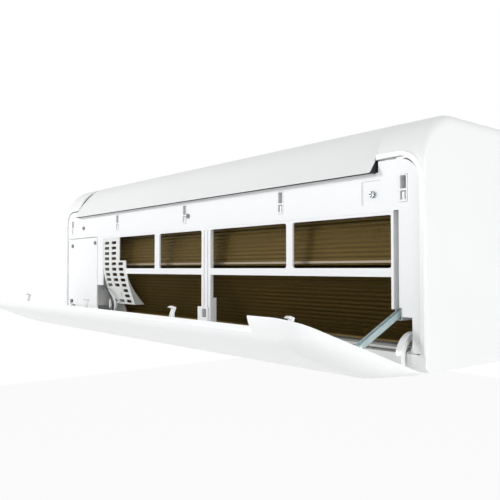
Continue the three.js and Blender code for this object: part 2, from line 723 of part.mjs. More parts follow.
function fanMotor() {
  const left = motorRight - MOTOR_LENGTH;
  const body = barAcross(MOTOR_RADIUS, left, motorRight, FAN_BEHIND, FAN_ABOVE);
  const bossEnd = motorRight + MOTOR_BOSS_LENGTH;
  const boss = barAcross(MOTOR_BOSS_RADIUS, motorRight - GAP, bossEnd, FAN_BEHIND, FAN_ABOVE);
  const grooves = Array.from({ length: MOTOR_FIN_COUNT }, (_, i) => {
    const x0 = left + (MOTOR_LENGTH * (i + 1)) / (2 * MOTOR_FIN_COUNT);
    const ring = barAcross(MOTOR_RADIUS + OVERRUN, x0, x0 + BULKHEAD, FAN_BEHIND, FAN_ABOVE);
    const core = MOTOR_RADIUS - BULKHEAD;
    return cut(ring, barAcross(core, x0 - OVERRUN, x0 + OVERRUN, FAN_BEHIND, FAN_ABOVE));
  });
  const socketEnd = FAN_LEFT - 2 * BULKHEAD - MOTOR_BOSS_LENGTH - GAP;
  const socket = barAcross(SHAFT_RADIUS + GAP, socketEnd, bossEnd + OVERRUN, FAN_BEHIND, FAN_ABOVE, SMALL_SIDES);
  return cut(join(body, boss), ...grooves, socket);
}

// Ring round the motor with two feet on the chassis wall
function motorBracket() {
  const x1 = motorRight - BULKHEAD_CLEARANCE;
  const x0 = x1 - BRACKET_WIDTH;
  const wall = BODY_DEPTH - PLATE_THICKNESS - 2 * GAP - WALL;
  const outer = MOTOR_RADIUS + GAP + BRACKET_THICKNESS;
  const ring = barAcross(outer, x0, x1, FAN_BEHIND, FAN_ABOVE);
  const feet = [FAN_ABOVE + 2 * MOTOR_BOSS_RADIUS].map((z) => (
    block(x0, x1, FAN_BEHIND, wall, z - BRACKET_THICKNESS, z + BRACKET_THICKNESS)
  ));
  const bore = barAcross(MOTOR_RADIUS + GAP, x0 - OVERRUN, x1 + OVERRUN, FAN_BEHIND, FAN_ABOVE);
  return cut(join(ring, ...feet), bore);
}

// A coil slab is a rectangle about its centre line
function slabOutline(line, margin) {
  const [[b0, z0], [b1, z1]] = line;
  const along = new THREE.Vector2(b1 - b0, z1 - z0).normalize();
  const across = new THREE.Vector2(-along.y, along.x).multiplyScalar(COIL_THICKNESS / 2 + margin);
  along.multiplyScalar(margin);
  return [
    [b0 - along.x - across.x, z0 - along.y - across.y],
    [b1 + along.x - across.x, z1 + along.y - across.y],
    [b1 + along.x + across.x, z1 + along.y + across.y],
    [b0 - along.x + across.x, z0 - along.y + across.y],
  ];
}

const coilSlab = (line) => sweep(slabOutline(line, 0), COIL_LEFT, COIL_RIGHT);

// A return bend joins two tubes of a slab outside its end plate
function returnBend(line, share, x, sign) {
  const [[b0, z0], [b1, z1]] = line;
  const along = new THREE.Vector3(0, b1 - b0, z1 - z0).normalize();
  const middle = new THREE.Vector3(x, b0 + (b1 - b0) * share, z0 + (z1 - z0) * share);
  const bend = new THREE.Curve();
  bend.getPoint = (t) => {
    const turn = Math.PI * t;
    return middle.clone()
      .addScaledVector(along, -BEND_RADIUS * Math.cos(turn))
      .add(new THREE.Vector3(sign * BEND_RADIUS * Math.sin(turn), 0, 0));
  };
  return tube(bend, BEND_TUBE, BEND_STEPS, BEND_SIDES);
}

// End plate round all three slabs with its return bends and a foot on the chassis wall
function coilEnd(sign) {
  const face = sign > 0 ? COIL_RIGHT + GAP : COIL_LEFT - GAP;
  const x0 = sign > 0 ? face : face - END_PLATE;
  const x1 = x0 + END_PLATE;
  const outside = sign > 0 ? x1 : x0;
  const lines = [COIL_LOWER, COIL_UPPER, COIL_REAR];
  const strips = lines.map((line) => sweep(slabOutline(line, END_PLATE_MARGIN), x0, x1));
  const [, [topBehind, topAbove]] = COIL_UPPER;
  const [[rearBehind, rearAbove], [endBehind, endAbove]] = COIL_REAR;
  const bridge = sweep([
    [topBehind - COIL_THICKNESS / 2, topAbove - END_PLATE],
    [topBehind + COIL_THICKNESS / 2, topAbove - END_PLATE],
    [rearBehind + END_PLATE, rearAbove - COIL_THICKNESS / 3],
    [rearBehind, rearAbove + COIL_THICKNESS / 3],
  ], x0, x1);
  const wall = BODY_DEPTH - PLATE_THICKNESS - 2 * GAP - WALL;
  const foot = block(x0, x1, endBehind, wall, endAbove + GAP, endAbove + FOOT_HEIGHT);
  const shares = Array.from({ length: BENDS_PER_SLAB }, (_, i) => (i + 0.5) / BENDS_PER_SLAB);
  const isPiped = (line, share) => sign > 0 && line === COIL_LOWER && share > PIPE_JOINT_SHARE;
  const bends = lines.flatMap((line) => (
    shares.filter((share) => !isPiped(line, share)).map((share) => (
      returnBend(line, share, outside - sign * END_PLATE / 3, sign)
    ))
  ));
  return join(...strips, bridge, foot, ...bends);
}

// A pipe leaves the coil end, turns back and runs along the channel behind the chassis
function pipe(radius, above, endX) {
  const start = new THREE.Vector3(COIL_RIGHT + END_PLATE + 2 * GAP, COIL_LOWER[1][0] - radius, above);
  const outX = COIL_RIGHT + END_PLATE + PIPE_BEND;
  const route = new THREE.CatmullRomCurve3([
    start,
    new THREE.Vector3(outX - PIPE_BEND / 2, start.y, above),
    new THREE.Vector3(outX, start.y + PIPE_BEND, above),
    new THREE.Vector3(outX, FAN_BEHIND, above),
    new THREE.Vector3(outX, PIPE_INSET - PIPE_BEND, above),
    new THREE.Vector3(outX - PIPE_BEND, PIPE_INSET, above),
    new THREE.Vector3(FAN_RIGHT - 2 * PIPE_BEND, PIPE_INSET, above),
    new THREE.Vector3((FAN_RIGHT + endX) / 2, PIPE_INSET, above),
    new THREE.Vector3(endX, PIPE_INSET, above),
  ], false, 'centripetal');
  const nut = barAcross(radius + NUT_MARGIN / 2, endX - NUT_LENGTH / 2, endX + NUT_LENGTH / 2,
    PIPE_INSET, above, 6);
  return join(tube(route, radius, PIPE_STEPS), nut);
}

// Trough under the coil; its rear wall ends in the fan's stabiliser nose
function drainPan() {
  const skin = WALL;
  return sweep([
    [PAN_FRONT, PAN_SHELF - skin],
    [PAN_TROUGH - skin, PAN_SHELF - skin],
    [PAN_TROUGH - skin, PAN_BOTTOM],
    [PAN_REAR + skin, PAN_BOTTOM],
    [PAN_REAR + skin, PAN_NOSE - skin],
    [PAN_REAR, PAN_NOSE],
    [PAN_REAR - skin, PAN_NOSE - skin],
    [PAN_REAR - skin / 2, PAN_NOSE - 2 * skin],
    [PAN_REAR, PAN_BOTTOM + 2 * skin],
    [PAN_REAR - skin, PAN_BOTTOM + skin],
    [PAN_TROUGH, PAN_BOTTOM + skin],
    [PAN_TROUGH, PAN_SHELF],
    [PAN_FRONT, PAN_SHELF],
  ], PAN_LEFT, PAN_RIGHT);
}

const frameBack = FRAME_FRONT + FRAME_THICKNESS;

// An opening through the window frame between two distances from the unit's right end
function frameOpening(nearRight, farRight, z0, z1) {
  return block(fromRight(farRight), fromRight(nearRight), -OVERRUN, CHANNEL_DEPTH, z0, z1);
}

// Band with catches and screws, and the lattice of windows over the coil
function windowFrame() {
  const half = HALF - RIM_WIDTH - GAP;
  const [rightEdge, ...rest] = WINDOW_EDGES_FROM_RIGHT;
  const leftEdge = rest[rest.length - 1];
  const postRight = rest[2];
  const postLeft = rest[3];
  const outline = shapeOf([
    [-half, POST_BOTTOM], [half, POST_BOTTOM],
    [half, FRAME_TOP - RECESS_CORNER], [half - RECESS_CORNER, FRAME_TOP],
    [COVER_HALF + WALL, FRAME_TOP], [COVER_HALF + WALL, FRAME_TOP_UNDER_COVER],
    [-COVER_HALF - WALL, FRAME_TOP_UNDER_COVER], [-COVER_HALF - WALL, FRAME_TOP],
    [-half + RECESS_CORNER, FRAME_TOP], [-half, FRAME_TOP - RECESS_CORNER],
  ]);
  const channelSide = fromRight(STAY_FROM_RIGHT) - STAY_WIDTH / 2 - CHANNEL_CLEARANCE - CHANNEL_WALL;
  const lattice = block(fromRight(leftEdge) - WALL, channelSide - GAP,
    FRAME_FRONT, FRAME_FRONT + FRAME_BAR_DEPTH, POST_BOTTOM, BAND_BOTTOM + WALL);
  const windows = [];
  for (let i = 0; i < WINDOW_EDGES_FROM_RIGHT.length; i += 2) {
    const [near, far] = WINDOW_EDGES_FROM_RIGHT.slice(i, i + 2);
    windows.push(frameOpening(near, far, WINDOW_RAIL_HIGH, BAND_BOTTOM));
  }
  const under = -OVERRUN;
  const channelHalf = STAY_WIDTH / 2 + CHANNEL_CLEARANCE;
  const leadHole = frameOpening(GUARD_EDGE_FROM_RIGHT + WALL, CONTROL_EDGE_FROM_RIGHT - WALL,
    LEAD_HOLE_LOW, LEAD_HOLE_HIGH);
  const recess = block(
    fromRight(SCREW_RECESS_FROM_RIGHT[1]), fromRight(SCREW_RECESS_FROM_RIGHT[0]),
    -OVERRUN, FRAME_FRONT + SCREW_RECESS_DEPTH, SCREW_RECESS_LOW, SCREW_RECESS_HIGH,
  );
  const grooves = [0.3, 0.7].map((share) => {
    const x = fromRight(postRight + (postLeft - postRight) * share);
    return block(x - GROOVE_WIDTH / 2, x + GROOVE_WIDTH / 2, -OVERRUN, FRAME_FRONT + GROOVE_DEPTH,
      2 * POST_BOTTOM + 2 * OVERRUN, BAND_BOTTOM);
  });
  const catchHoles = CATCHES_FROM_RIGHT.map((distance) => {
    const side = CATCH_WIDTH / 2 + GAP;
    return frameOpening(distance - side, distance + side, CATCH_LOW - GAP, CATCH_HIGH + GAP);
  });
  const screwHoles = SCREWS_FROM_RIGHT.map((distance) => (
    barBehind(SCREW_SHANK_RADIUS + GAP, -OVERRUN, CHANNEL_DEPTH, fromRight(distance), SCREW_ABOVE)
  ));
  return cut(
    join(plate(outline, FRAME_FRONT, frameBack), lattice),
    ...windows,
    frameOpening(rightEdge, postRight, under, WINDOW_RAIL_LOW),
    frameOpening(postLeft, leftEdge, under, WINDOW_RAIL_LOW),
    frameOpening(leftEdge, GUARD_EDGE_FROM_RIGHT, under, BAND_BOTTOM),
    frameOpening(CONTROL_EDGE_FROM_RIGHT, CONTROL_END_FROM_RIGHT, under, CONTROL_TOP),
    frameOpening(-OVERRUN, rightEdge, under, RIGHT_COLUMN_BOTTOM),
    frameOpening(CONTROL_END_FROM_RIGHT - OVERRUN, LENGTH, under, RIGHT_COLUMN_BOTTOM),
    frameOpening(STAY_FROM_RIGHT - channelHalf, STAY_FROM_RIGHT + channelHalf, under, CHANNEL_HIGH - WALL),
    leadHole, recess, ...grooves, ...catchHoles, ...screwHoles,
  );
}

// Socket that takes a latch hook of the panel, with two spring tabs below the slot
function panelCatch(distance) {
  const x = fromRight(distance);
  const side = CATCH_WIDTH / 2;
  const front = FRAME_FRONT - CATCH_PROUD;
  const rear = front + CATCH_DEPTH;
  const inner = side - CATCH_WALL;
  const body = block(x - side, x + side, front, rear, CATCH_LOW, CATCH_HIGH);
  const hookSlot = block(x - inner, x + inner, front - OVERRUN, rear + OVERRUN,
    HOOK_SLOT_LOW, CATCH_HIGH - CATCH_WALL);
  const tabSpace = block(x - inner, x + inner, front - OVERRUN, rear - CATCH_WALL,
    CATCH_LOW + CATCH_WALL, HOOK_SLOT_LOW - CATCH_WALL);
  const tabs = [-1, 1].map((sign) => {
    const middle = x + sign * (inner - CATCH_TAB / 2);
    return block(middle - CATCH_TAB / 2, middle + CATCH_TAB / 2, front + CATCH_WALL, rear,
      CATCH_LOW + (sign + 2) * CATCH_WALL, HOOK_SLOT_LOW - (sign + 3) * CATCH_WALL);
  });
  return join(cut(body, hookSlot, tabSpace), ...tabs);
}

// Pan-head screw with a cross recess, seated at a depth behind the rim
function panScrew(x, z, seat) {
  const head = barBehind(SCREW_HEAD_RADIUS, seat - SCREW_HEAD_HEIGHT, seat, x, z);
  const shank = barBehind(SCREW_SHANK_RADIUS, seat - GAP, seat + SCREW_LENGTH, x, z, TUBE_SIDES);
  const reach = SCREW_HEAD_RADIUS - SCREW_SLOT;
  const half = SCREW_SLOT / 2;
  const front = seat - SCREW_HEAD_HEIGHT;
  return cut(
    join(head, shank),
    block(x - reach, x + reach, front - OVERRUN, front + SCREW_SLOT, z - half, z + half),
    block(x - half, x + half, front - OVERRUN, front + SCREW_SLOT, z - reach, z + reach),
  );
}

// Slotted box clip at the foot of the centre post
function filterClip() {
  const x0 = fromRight(WINDOW_EDGES_FROM_RIGHT[4]) - 2 * CLIP_RADIUS / 2;
  const x1 = fromRight(WINDOW_EDGES_FROM_RIGHT[3]) + OVERRUN;
  const front = FRAME_FRONT - GAP;
  const top = 2 * POST_BOTTOM + 2 * OVERRUN;
  const face = front - FILTER_CLIP_THICKNESS;
  const inset = front - FILTER_CLIP_THICKNESS / 2;
  const body = block(x0, x1, face, front, POST_BOTTOM, top);
  const slot = block(x0 + WALL, x1 - 3 * WALL, face - OVERRUN, inset,
    POST_BOTTOM + 2 * WALL, POST_BOTTOM + 4 * WALL);
  const edge = block(x1 - 2 * WALL, x1 + OVERRUN, face - OVERRUN, inset,
    top - 3 * WALL, top + OVERRUN);
  return cut(body, slot, edge);
}

// How deep in the panel's skin the hooks and the stay lug stand, as shares of the bulge
const HOOK_FOOT_SHARE = 0.73;
const LUG_FOOT_SHARE = 0.92;

// Outer face of the closed panel: shares of its height and of its bulge
const PANEL_FACE_SHARES = [
  [0, 0.05], [0.02, 0.2], [0.06, 0.37], [0.11, 0.54], [0.17, 0.7], [0.25, 0.9], [0.34, 0.99],
  [0.5, 1], [0.68, 0.94], [0.82, 0.86], [0.89, 0.74], [0.94, 0.48], [0.975, 0.26], [1, 0.05],
];

function panelRings(skin, back) {
  const stations = [];
  for (let i = 0; i <= CORNER_STEPS + 1; i += 1) {
    const turn = (Math.PI / 2) * (i / (CORNER_STEPS + 1));
    stations.push((PANEL_END_RADIUS - skin) * (1 - Math.cos(turn)));
  }
  const left = stations.map((distance) => [-HALF + skin + distance, distance]);
  const right = stations.map((distance) => [HALF - skin - distance, distance]).reverse();
  const face = -PANEL_STANDOFF;
  return [...left, ...right].map(([x, distance]) => {
    const swell = Math.sqrt(1 - (1 - Math.min(1, (distance + 1) / PANEL_END_RADIUS)) ** 2);
    const low = PANEL_LOW + skin + roundOff(distance, PANEL_LOW_CORNER);
    const high = PANEL_HIGH - skin - roundOff(distance, PANEL_TOP_CORNER);
    const outer = PANEL_FACE_SHARES.map(([up, out]) => {
      const depth = Math.max(PANEL_BULGE * out * swell - skin, GAP);
      return [x, face - depth, low + (high - low) * up];
    });
    return [...outer.reverse(), [x, face + back, low], [x, face + back, high]];
  });
}

// Pillow-shaped hollow panel; its middle ends below the top cover's front edge
function frontPanel() {
  const notchLow = COVER_EDGE_HEIGHT - PANEL_COVER_GAP;
  const notch = (margin) => {
    const half = COVER_HALF + COVER_CLEARANCE + margin;
    const high = PANEL_HIGH + OVERRUN;
    return plate([
      [-half - NOTCH_FLARE, high], [-half, notchLow - margin],
      [half, notchLow - margin], [half + NOTCH_FLARE, high],
    ], -2 * PANEL_BULGE, 2 * OVERRUN);
  };
  const outer = cut(loft(panelRings(0, 0)), notch(0));
  const hollow = cut(loft(panelRings(PANEL_WALL, OVERRUN)), notch(PANEL_WALL));
  const shell = cut(outer, hollow);
  const hooks = CATCHES_FROM_RIGHT.flatMap((distance) => {
    const x = fromRight(distance);
    const half = PANEL_HOOK_WIDTH / 2;
    const offset = CATCH_WIDTH / 2 - CATCH_WALL - PANEL_HOOK_WIDTH;
    return [-offset, offset].map((shift) => {
      const foot = -PANEL_STANDOFF - PANEL_BULGE * HOOK_FOOT_SHARE;
      const reach = PANEL_HOOK_REACH;
      return sweep([
        [foot, PANEL_HOOK_LOW - PANEL_HOOK_REACH], [0, PANEL_HOOK_LOW],
        [reach, PANEL_HOOK_LOW], [reach, PANEL_HOOK_HIGH - WALL],
        [reach - WALL, PANEL_HOOK_HIGH], [reach - WALL, PANEL_HOOK_LOW + WALL],
        [foot, PANEL_HOOK_LOW + WALL],
      ], x + shift - half, x + shift + half);
    });
  });
  const [pivotBehind, pivotAbove] = turnClosed(STAY_PIVOT_BEHIND, STAY_PIVOT_ABOVE);
  const stayX = fromRight(STAY_FROM_RIGHT);
  const lugFoot = -PANEL_STANDOFF - PANEL_BULGE * LUG_FOOT_SHARE;
  const inner = STAY_WIDTH / 2 - STAY_WALL - GAP;
  const lug = join(
    block(stayX - inner, stayX + inner, lugFoot, pivotBehind, pivotAbove - STAY_HEIGHT / 2,
      pivotAbove + STAY_HEIGHT / 2),
    barAcross(STAY_PIN_RADIUS, stayX - STAY_WIDTH / 2, stayX + STAY_WIDTH / 2, pivotBehind, pivotAbove,
      TUBE_SIDES),
  );
  return join(shell, ...hooks, lug);
}

// Turns a point from the open panel to the closed one, about the hinge line
function turnClosed(behind, above) {
  const turn = -radians(PANEL_OPEN_DEGREES);
  const b = behind - HINGE_BEHIND;
  const z = above - HINGE_ABOVE;
  return [
    HINGE_BEHIND + b * Math.cos(turn) - z * Math.sin(turn),
    HINGE_ABOVE + b * Math.sin(turn) + z * Math.cos(turn),
  ];
}

// Gooseneck arm: a ring sector over the lip, a hub on the pin and a foot on the panel
function panelArm(sign) {
  const middle = sign * (fromRight(ARM_FROM_RIGHT) - ARM_WIDTH / 2);
  const x0 = middle - ARM_WIDTH / 2;
  const x1 = middle + ARM_WIDTH / 2;
  const steps = 2 * ARC_STEPS;
  const startTurn = radians(ARM_START_DEGREES - PANEL_OPEN_DEGREES);
  const endTurn = radians(ARM_END_DEGREES - PANEL_OPEN_DEGREES);
  const ring = (radius, flip) => Array.from({ length: steps + 1 }, (_, i) => {
    const share = flip ? 1 - i / steps : i / steps;
    const turn = startTurn + (endTurn - startTurn) * share;
    return [HINGE_BEHIND + radius * Math.cos(turn), HINGE_ABOVE + radius * Math.sin(turn)];
  });
  const sector = sweep([...ring(ARM_OUTER_RADIUS, false), ...ring(ARM_INNER_RADIUS, true)], x0, x1);
  const hub = barAcross(ARM_HUB_RADIUS, x0, x1, HINGE_BEHIND, HINGE_ABOVE, SMALL_SIDES);
  const spokeTurn = startTurn + radians(8);
  const reach = (ARM_OUTER_RADIUS + ARM_INNER_RADIUS) / 2;
  const side = ARM_HUB_RADIUS * 0.6;
  const across = [-Math.sin(spokeTurn) * side, Math.cos(spokeTurn) * side];
  const tip = [HINGE_BEHIND + reach * Math.cos(spokeTurn), HINGE_ABOVE + reach * Math.sin(spokeTurn)];
  const spoke = sweep([
    [HINGE_BEHIND - across[0], HINGE_ABOVE - across[1]], [tip[0] - across[0], tip[1] - across[1]],
    [tip[0] + across[0], tip[1] + across[1]], [HINGE_BEHIND + across[0], HINGE_ABOVE + across[1]],
  ], x0, x1);
  const bore = barAcross(PIN_RADIUS + PIN_CLEARANCE, x0 - OVERRUN, x1 + OVERRUN, HINGE_BEHIND, HINGE_ABOVE,
    SMALL_SIDES);
  return cut(join(sector, hub, spoke), bore);
}

function hingePin(sign) {
  const middle = sign * (fromRight(ARM_FROM_RIGHT) - ARM_WIDTH / 2);
  const half = ARM_WIDTH / 2 + GAP + PIN_LUG_THICKNESS;
  return barAcross(PIN_RADIUS, middle - half, middle + half, HINGE_BEHIND, HINGE_ABOVE, SMALL_SIDES);
}

// Channel-section stay arm, drawn along +z from its pivot on the panel
function stayArm() {
  const half = STAY_WIDTH / 2;
  const tall = STAY_HEIGHT / 2;
  const body = join(
    block(-half, half, -tall, tall, 0, STAY_LENGTH),
    barAcross(tall, -half, half, 0, 0, SMALL_SIDES),
    barAcross(tall, -half, half, 0, STAY_LENGTH, SMALL_SIDES),
  );
  const inside = half - STAY_WALL;
  const hollow = block(-inside, inside, -tall - OVERRUN, tall - STAY_WALL, -2 * tall, STAY_LENGTH - 2 * tall);
  const lugSpace = block(-inside, inside, -2 * tall, 2 * tall, -2 * tall, tall + GAP);
  const bore = barAcross(STAY_PIN_RADIUS + GAP, -STAY_WIDTH, STAY_WIDTH, 0, 0, TUBE_SIDES);
  return cut(body, hollow, lugSpace, bore);
}

function stayChannel() {
  const x = fromRight(STAY_FROM_RIGHT);
  const inner = STAY_WIDTH / 2 + CHANNEL_CLEARANCE;
  const outer = inner + CHANNEL_WALL;
  const rear = CHANNEL_FRONT + CHANNEL_DEPTH;
  return cut(
    block(x - outer, x + outer, CHANNEL_FRONT, rear, CHANNEL_LOW, CHANNEL_HIGH),
    block(x - inner, x + inner, -OVERRUN, rear - CHANNEL_WALL, CHANNEL_LOW + CHANNEL_WALL,
      CHANNEL_HIGH - CHANNEL_WALL),
  );
}

// Closed outlet louver: a thin crowned blade with end pins and lugs along its back
function louver() {
  const width = LOUVER_REAR - LOUVER_FRONT;
  const skin = (lift) => Array.from({ length: ARC_STEPS + 1 }, (_, i) => {
    const share = i / ARC_STEPS;
    const crown = LOUVER_CROWN * 4 * share * (1 - share);
    return [LOUVER_FRONT + width * share, WALL / 2 + lift + crown];
  });
  const blade = sweep([...skin(0), ...skin(LOUVER_THICKNESS).reverse()], louverLeft, louverRight);
  const pins = [
    [louverLeft - LOUVER_PIN_LENGTH, louverLeft + WALL],
    [louverRight - WALL, louverRight + LOUVER_PIN_LENGTH],
  ].map(([from, to]) => (
    barAcross(LOUVER_PIN_RADIUS, from, to, LOUVER_PIVOT_BEHIND, LOUVER_PIVOT_ABOVE, SMALL_SIDES)
  ));
  const lugs = [louverLeft, louverRight - WALL].map((from) => {
    return block(from, from + WALL, LOUVER_PIVOT_BEHIND - 2 * LOUVER_PIN_RADIUS,
      LOUVER_PIVOT_BEHIND + 2 * LOUVER_PIN_RADIUS, WALL, LOUVER_PIVOT_ABOVE + 2 * LOUVER_PIN_RADIUS);
  });
  return join(blade, ...pins, ...lugs);
}

// Bearing block or motor at one end of the louver, seated on the cabinet floor
function louverMount(x0, x1, sign) {
  const half = OUTLET_FRONT / 7;
  const body = block(x0, x1, LOUVER_PIVOT_BEHIND - half, LOUVER_PIVOT_BEHIND + half,
    WALL + GAP, LOUVER_PIVOT_ABOVE + half);
  const mouth = sign > 0 ? x1 : x0;
  const bore = barAcross(LOUVER_PIN_RADIUS + GAP, mouth - LOUVER_PIN_LENGTH, mouth + LOUVER_PIN_LENGTH,
    LOUVER_PIVOT_BEHIND, LOUVER_PIVOT_ABOVE, SMALL_SIDES);
  return cut(body, bore);
}

// Upright vane that swings about a pin in the front wall of the throat
function vane(x) {
  const half = VANE_THICKNESS / 2;
  const corner = (VANE_HIGH - VANE_LOW) / 3;
  const blade = sweep([
    [VANE_FRONT, VANE_LOW], [VANE_REAR - corner, VANE_LOW], [VANE_REAR, VANE_LOW + corner],
    [VANE_REAR, VANE_HIGH - corner], [VANE_REAR - corner, VANE_HIGH], [VANE_FRONT, VANE_HIGH],
  ], x - half, x + half);
  const pin = barBehind(VANE_PIN_RADIUS, PAN_REAR + WALL + GAP, VANE_FRONT + LINK_FRONT / 20, x,
    VANE_PIVOT_ABOVE, SMALL_SIDES);
  const linkAbove = VANE_PIVOT_ABOVE + LINK_ABOVE_PIVOT;
  const reach = LINK_HEIGHT / 2 + LINK_SWING_CLEARANCE;
  const hole = block(x - OVERRUN, x + OVERRUN, LINK_FRONT - LINK_CLEARANCE,
    LINK_FRONT + LINK_WIDTH + LINK_CLEARANCE, linkAbove - reach, linkAbove + reach);
  return cut(join(blade, pin), hole);
}

const groupLength = (ductRight - ductLeft) / VANE_GROUPS;
const vanePlaces = (group) => Array.from({ length: VANES_PER_GROUP }, (_, i) => (
  ductLeft + (group + 0.5) * groupLength + (i - (VANES_PER_GROUP - 1) / 2) * VANE_PITCH
));

function vaneLink(group) {
  const places = vanePlaces(group);
  const above = VANE_PIVOT_ABOVE + LINK_ABOVE_PIVOT;
  const over = VANE_PITCH / 6;
  return block(places[0] - over, places[places.length - 1] + over, LINK_FRONT, LINK_FRONT + LINK_WIDTH,
    above - LINK_HEIGHT / 2, above + LINK_HEIGHT / 2);
}

function controlBox() {
  const body = cut(
    block(BOX_LEFT, BOX_RIGHT, BOX_FRONT, BOX_REAR, BOX_LOW, BOX_HIGH),
    block(BOX_LEFT + BOX_WALL, BOX_RIGHT - BOX_WALL, -OVERRUN, BOX_REAR - BOX_WALL,
      BOX_LOW + BOX_WALL, BOX_HIGH - BOX_WALL),
  );
  const floor = BOX_REAR - BOX_WALL;
  const posts = [BOX_LEFT + 4 * BOX_WALL, BOX_RIGHT - 4 * BOX_WALL].flatMap((x) => (
    [BOARD_LOW + 2 * BOX_WALL, BOX_HIGH - 4 * BOX_WALL].map((z) => (
      barBehind(BOX_WALL, floor - BOARD_STANDOFF, floor + BOX_WALL / 2, x, z, TUBE_SIDES)
    ))
  ));
  return join(body, ...posts);
}

function controlCover() {
  const left = fromRight(CONTROL_END_FROM_RIGHT) + GAP + GAP;
  const right = fromRight(CONTROL_EDGE_FROM_RIGHT) - GAP - GAP;
  const top = CONTROL_TOP - 2 * GAP;
  const body = plate([
    [BOX_LEFT, CONTROL_COVER_LOW], [right, CONTROL_COVER_LOW], [right, top], [left, top],
    [left, CONTROL_NOTCH_ABOVE], [BOX_LEFT, CONTROL_NOTCH_ABOVE],
  ], FRAME_FRONT, BOX_FRONT - GAP);
  const holes = coverScrewPlaces().map(([x, z]) => (
    barBehind(SCREW_SHANK_RADIUS + GAP, -OVERRUN, BOX_FRONT + OVERRUN, x, z)
  ));
  return cut(body, ...holes);
}

const coverScrewPlaces = () => [
  [fromRight(CONTROL_END_FROM_RIGHT) + 4 * SCREW_HEAD_RADIUS, CONTROL_TOP - 4 * SCREW_HEAD_RADIUS],
  [fromRight(CONTROL_EDGE_FROM_RIGHT) - 2 * SCREW_HEAD_RADIUS, CONTROL_TOP - 3 * SCREW_HEAD_RADIUS],
];

// Circuit board with a row of relays, a capacitor and a heat sink
function mainBoard() {
  const rear = BOX_REAR - BOX_WALL - BOARD_STANDOFF - GAP;
  const front = rear - BOARD_THICKNESS;
  const x0 = BOX_LEFT + 2 * BOX_WALL;
  const x1 = BOX_RIGHT - 2 * BOX_WALL;
  const top = BOX_HIGH - 2 * BOX_WALL;
  const part = TERMINAL_DEPTH;
  const relays = Array.from({ length: TERMINAL_WAYS }, (_, i) => {
    const x = x0 + BOX_WALL * 2 + i * (x1 - x0) / TERMINAL_WAYS;
    return block(x, x + part * 0.8, front - part / 2, front + GAP, BOARD_LOW + part, BOARD_LOW + 2 * part);
  });
  const capacitor = barBehind(part / 2, front - part, front + GAP, (x0 + x1) / 2, top - part);
  return join(block(x0, x1, front, rear, BOARD_LOW, top), ...relays, capacitor);
}

function terminalBlock() {
  const x0 = (BOX_LEFT + BOX_RIGHT - TERMINAL_WIDTH) / 2;
  const rear = BOX_REAR - BOX_WALL - GAP;
  const low = BOX_LOW + 2 * BOX_WALL;
  const pitch = TERMINAL_WIDTH / TERMINAL_WAYS;
  const body = block(x0, x0 + TERMINAL_WIDTH, rear - TERMINAL_DEPTH, rear, low, low + TERMINAL_HEIGHT);
  const ways = Array.from({ length: TERMINAL_WAYS }, (_, i) => (
    block(x0 + (i + 0.5) * pitch - pitch / 3, x0 + (i + 0.5) * pitch + pitch / 3,
      rear - TERMINAL_DEPTH - OVERRUN, rear - TERMINAL_DEPTH / 2, low + BOX_WALL, low + TERMINAL_HEIGHT - BOX_WALL)
  ));
  return cut(body, ...ways);
}

// Guard over the coil's left end: slotted plate, upright above its knee and leaning back below
function coilGuard() {
  const x0 = fromRight(GUARD_EDGE_FROM_RIGHT) + 2 * GAP;
  const firstColumn = fromRight(GUARD_EDGE_FROM_RIGHT) + GUARD_COLUMN_PITCH * 0.58;
  const x1 = firstColumn + 2 * GUARD_COLUMN_PITCH + GUARD_SLOT_WIDTH / 2 + WALL;
  const upperEdge = firstColumn + GUARD_COLUMN_PITCH + GUARD_SLOT_WIDTH / 2 + WALL;
  const rear = GUARD_FRONT + GUARD_THICKNESS;
  const face = sweep([
    [GUARD_FRONT + GUARD_LEAN, GUARD_LOW], [rear + GUARD_LEAN, GUARD_LOW],
    [rear, GUARD_KNEE], [rear, GUARD_TOP], [GUARD_FRONT, GUARD_TOP], [GUARD_FRONT, GUARD_KNEE],
  ], x0, x1);
  const step = block(upperEdge, x1 + OVERRUN, -OVERRUN, rear + OVERRUN, GUARD_STEP_ABOVE, GUARD_TOP + OVERRUN);
  const slots = [];
  for (let row = 0; row < GUARD_ROWS; row += 1) {
    const z = GUARD_FIRST_ROW - row * GUARD_ROW_PITCH;
    for (let column = 0; column < 3; column += 1) {
      const x = firstColumn + column * GUARD_COLUMN_PITCH;
      const isOpen = column < 2 || z < GUARD_STEP_ABOVE - GUARD_SLOT_HEIGHT;
      const half = GUARD_SLOT_WIDTH / 2;
      if (isOpen) {
        slots.push(block(x - half, x + half, -OVERRUN, 3 * GUARD_LEAN, z, z + GUARD_SLOT_HEIGHT));
      }
    }
  }
  return cut(face, step, join(...slots));
}

// Depth of the guard's leaning front face at a height below its knee
const guardFace = (z) => GUARD_FRONT + (GUARD_LEAN * (GUARD_KNEE - z)) / (GUARD_KNEE - GUARD_LOW);

function sensorClip() {
  const x = fromRight(GUARD_EDGE_FROM_RIGHT);
  const rear = guardFace(CLIP_ABOVE + CLIP_RADIUS) - GAP;
  const rim = barBehind(CLIP_RADIUS, rear - CLIP_THICKNESS, rear, x, CLIP_ABOVE, CIRCLE_SIDES);
  const dish = barBehind(CLIP_RADIUS - 2 * WALL, rear - CLIP_THICKNESS - OVERRUN, rear - CLIP_THICKNESS / 2,
    x, CLIP_ABOVE, CIRCLE_SIDES);
  return cut(rim, dish);
}

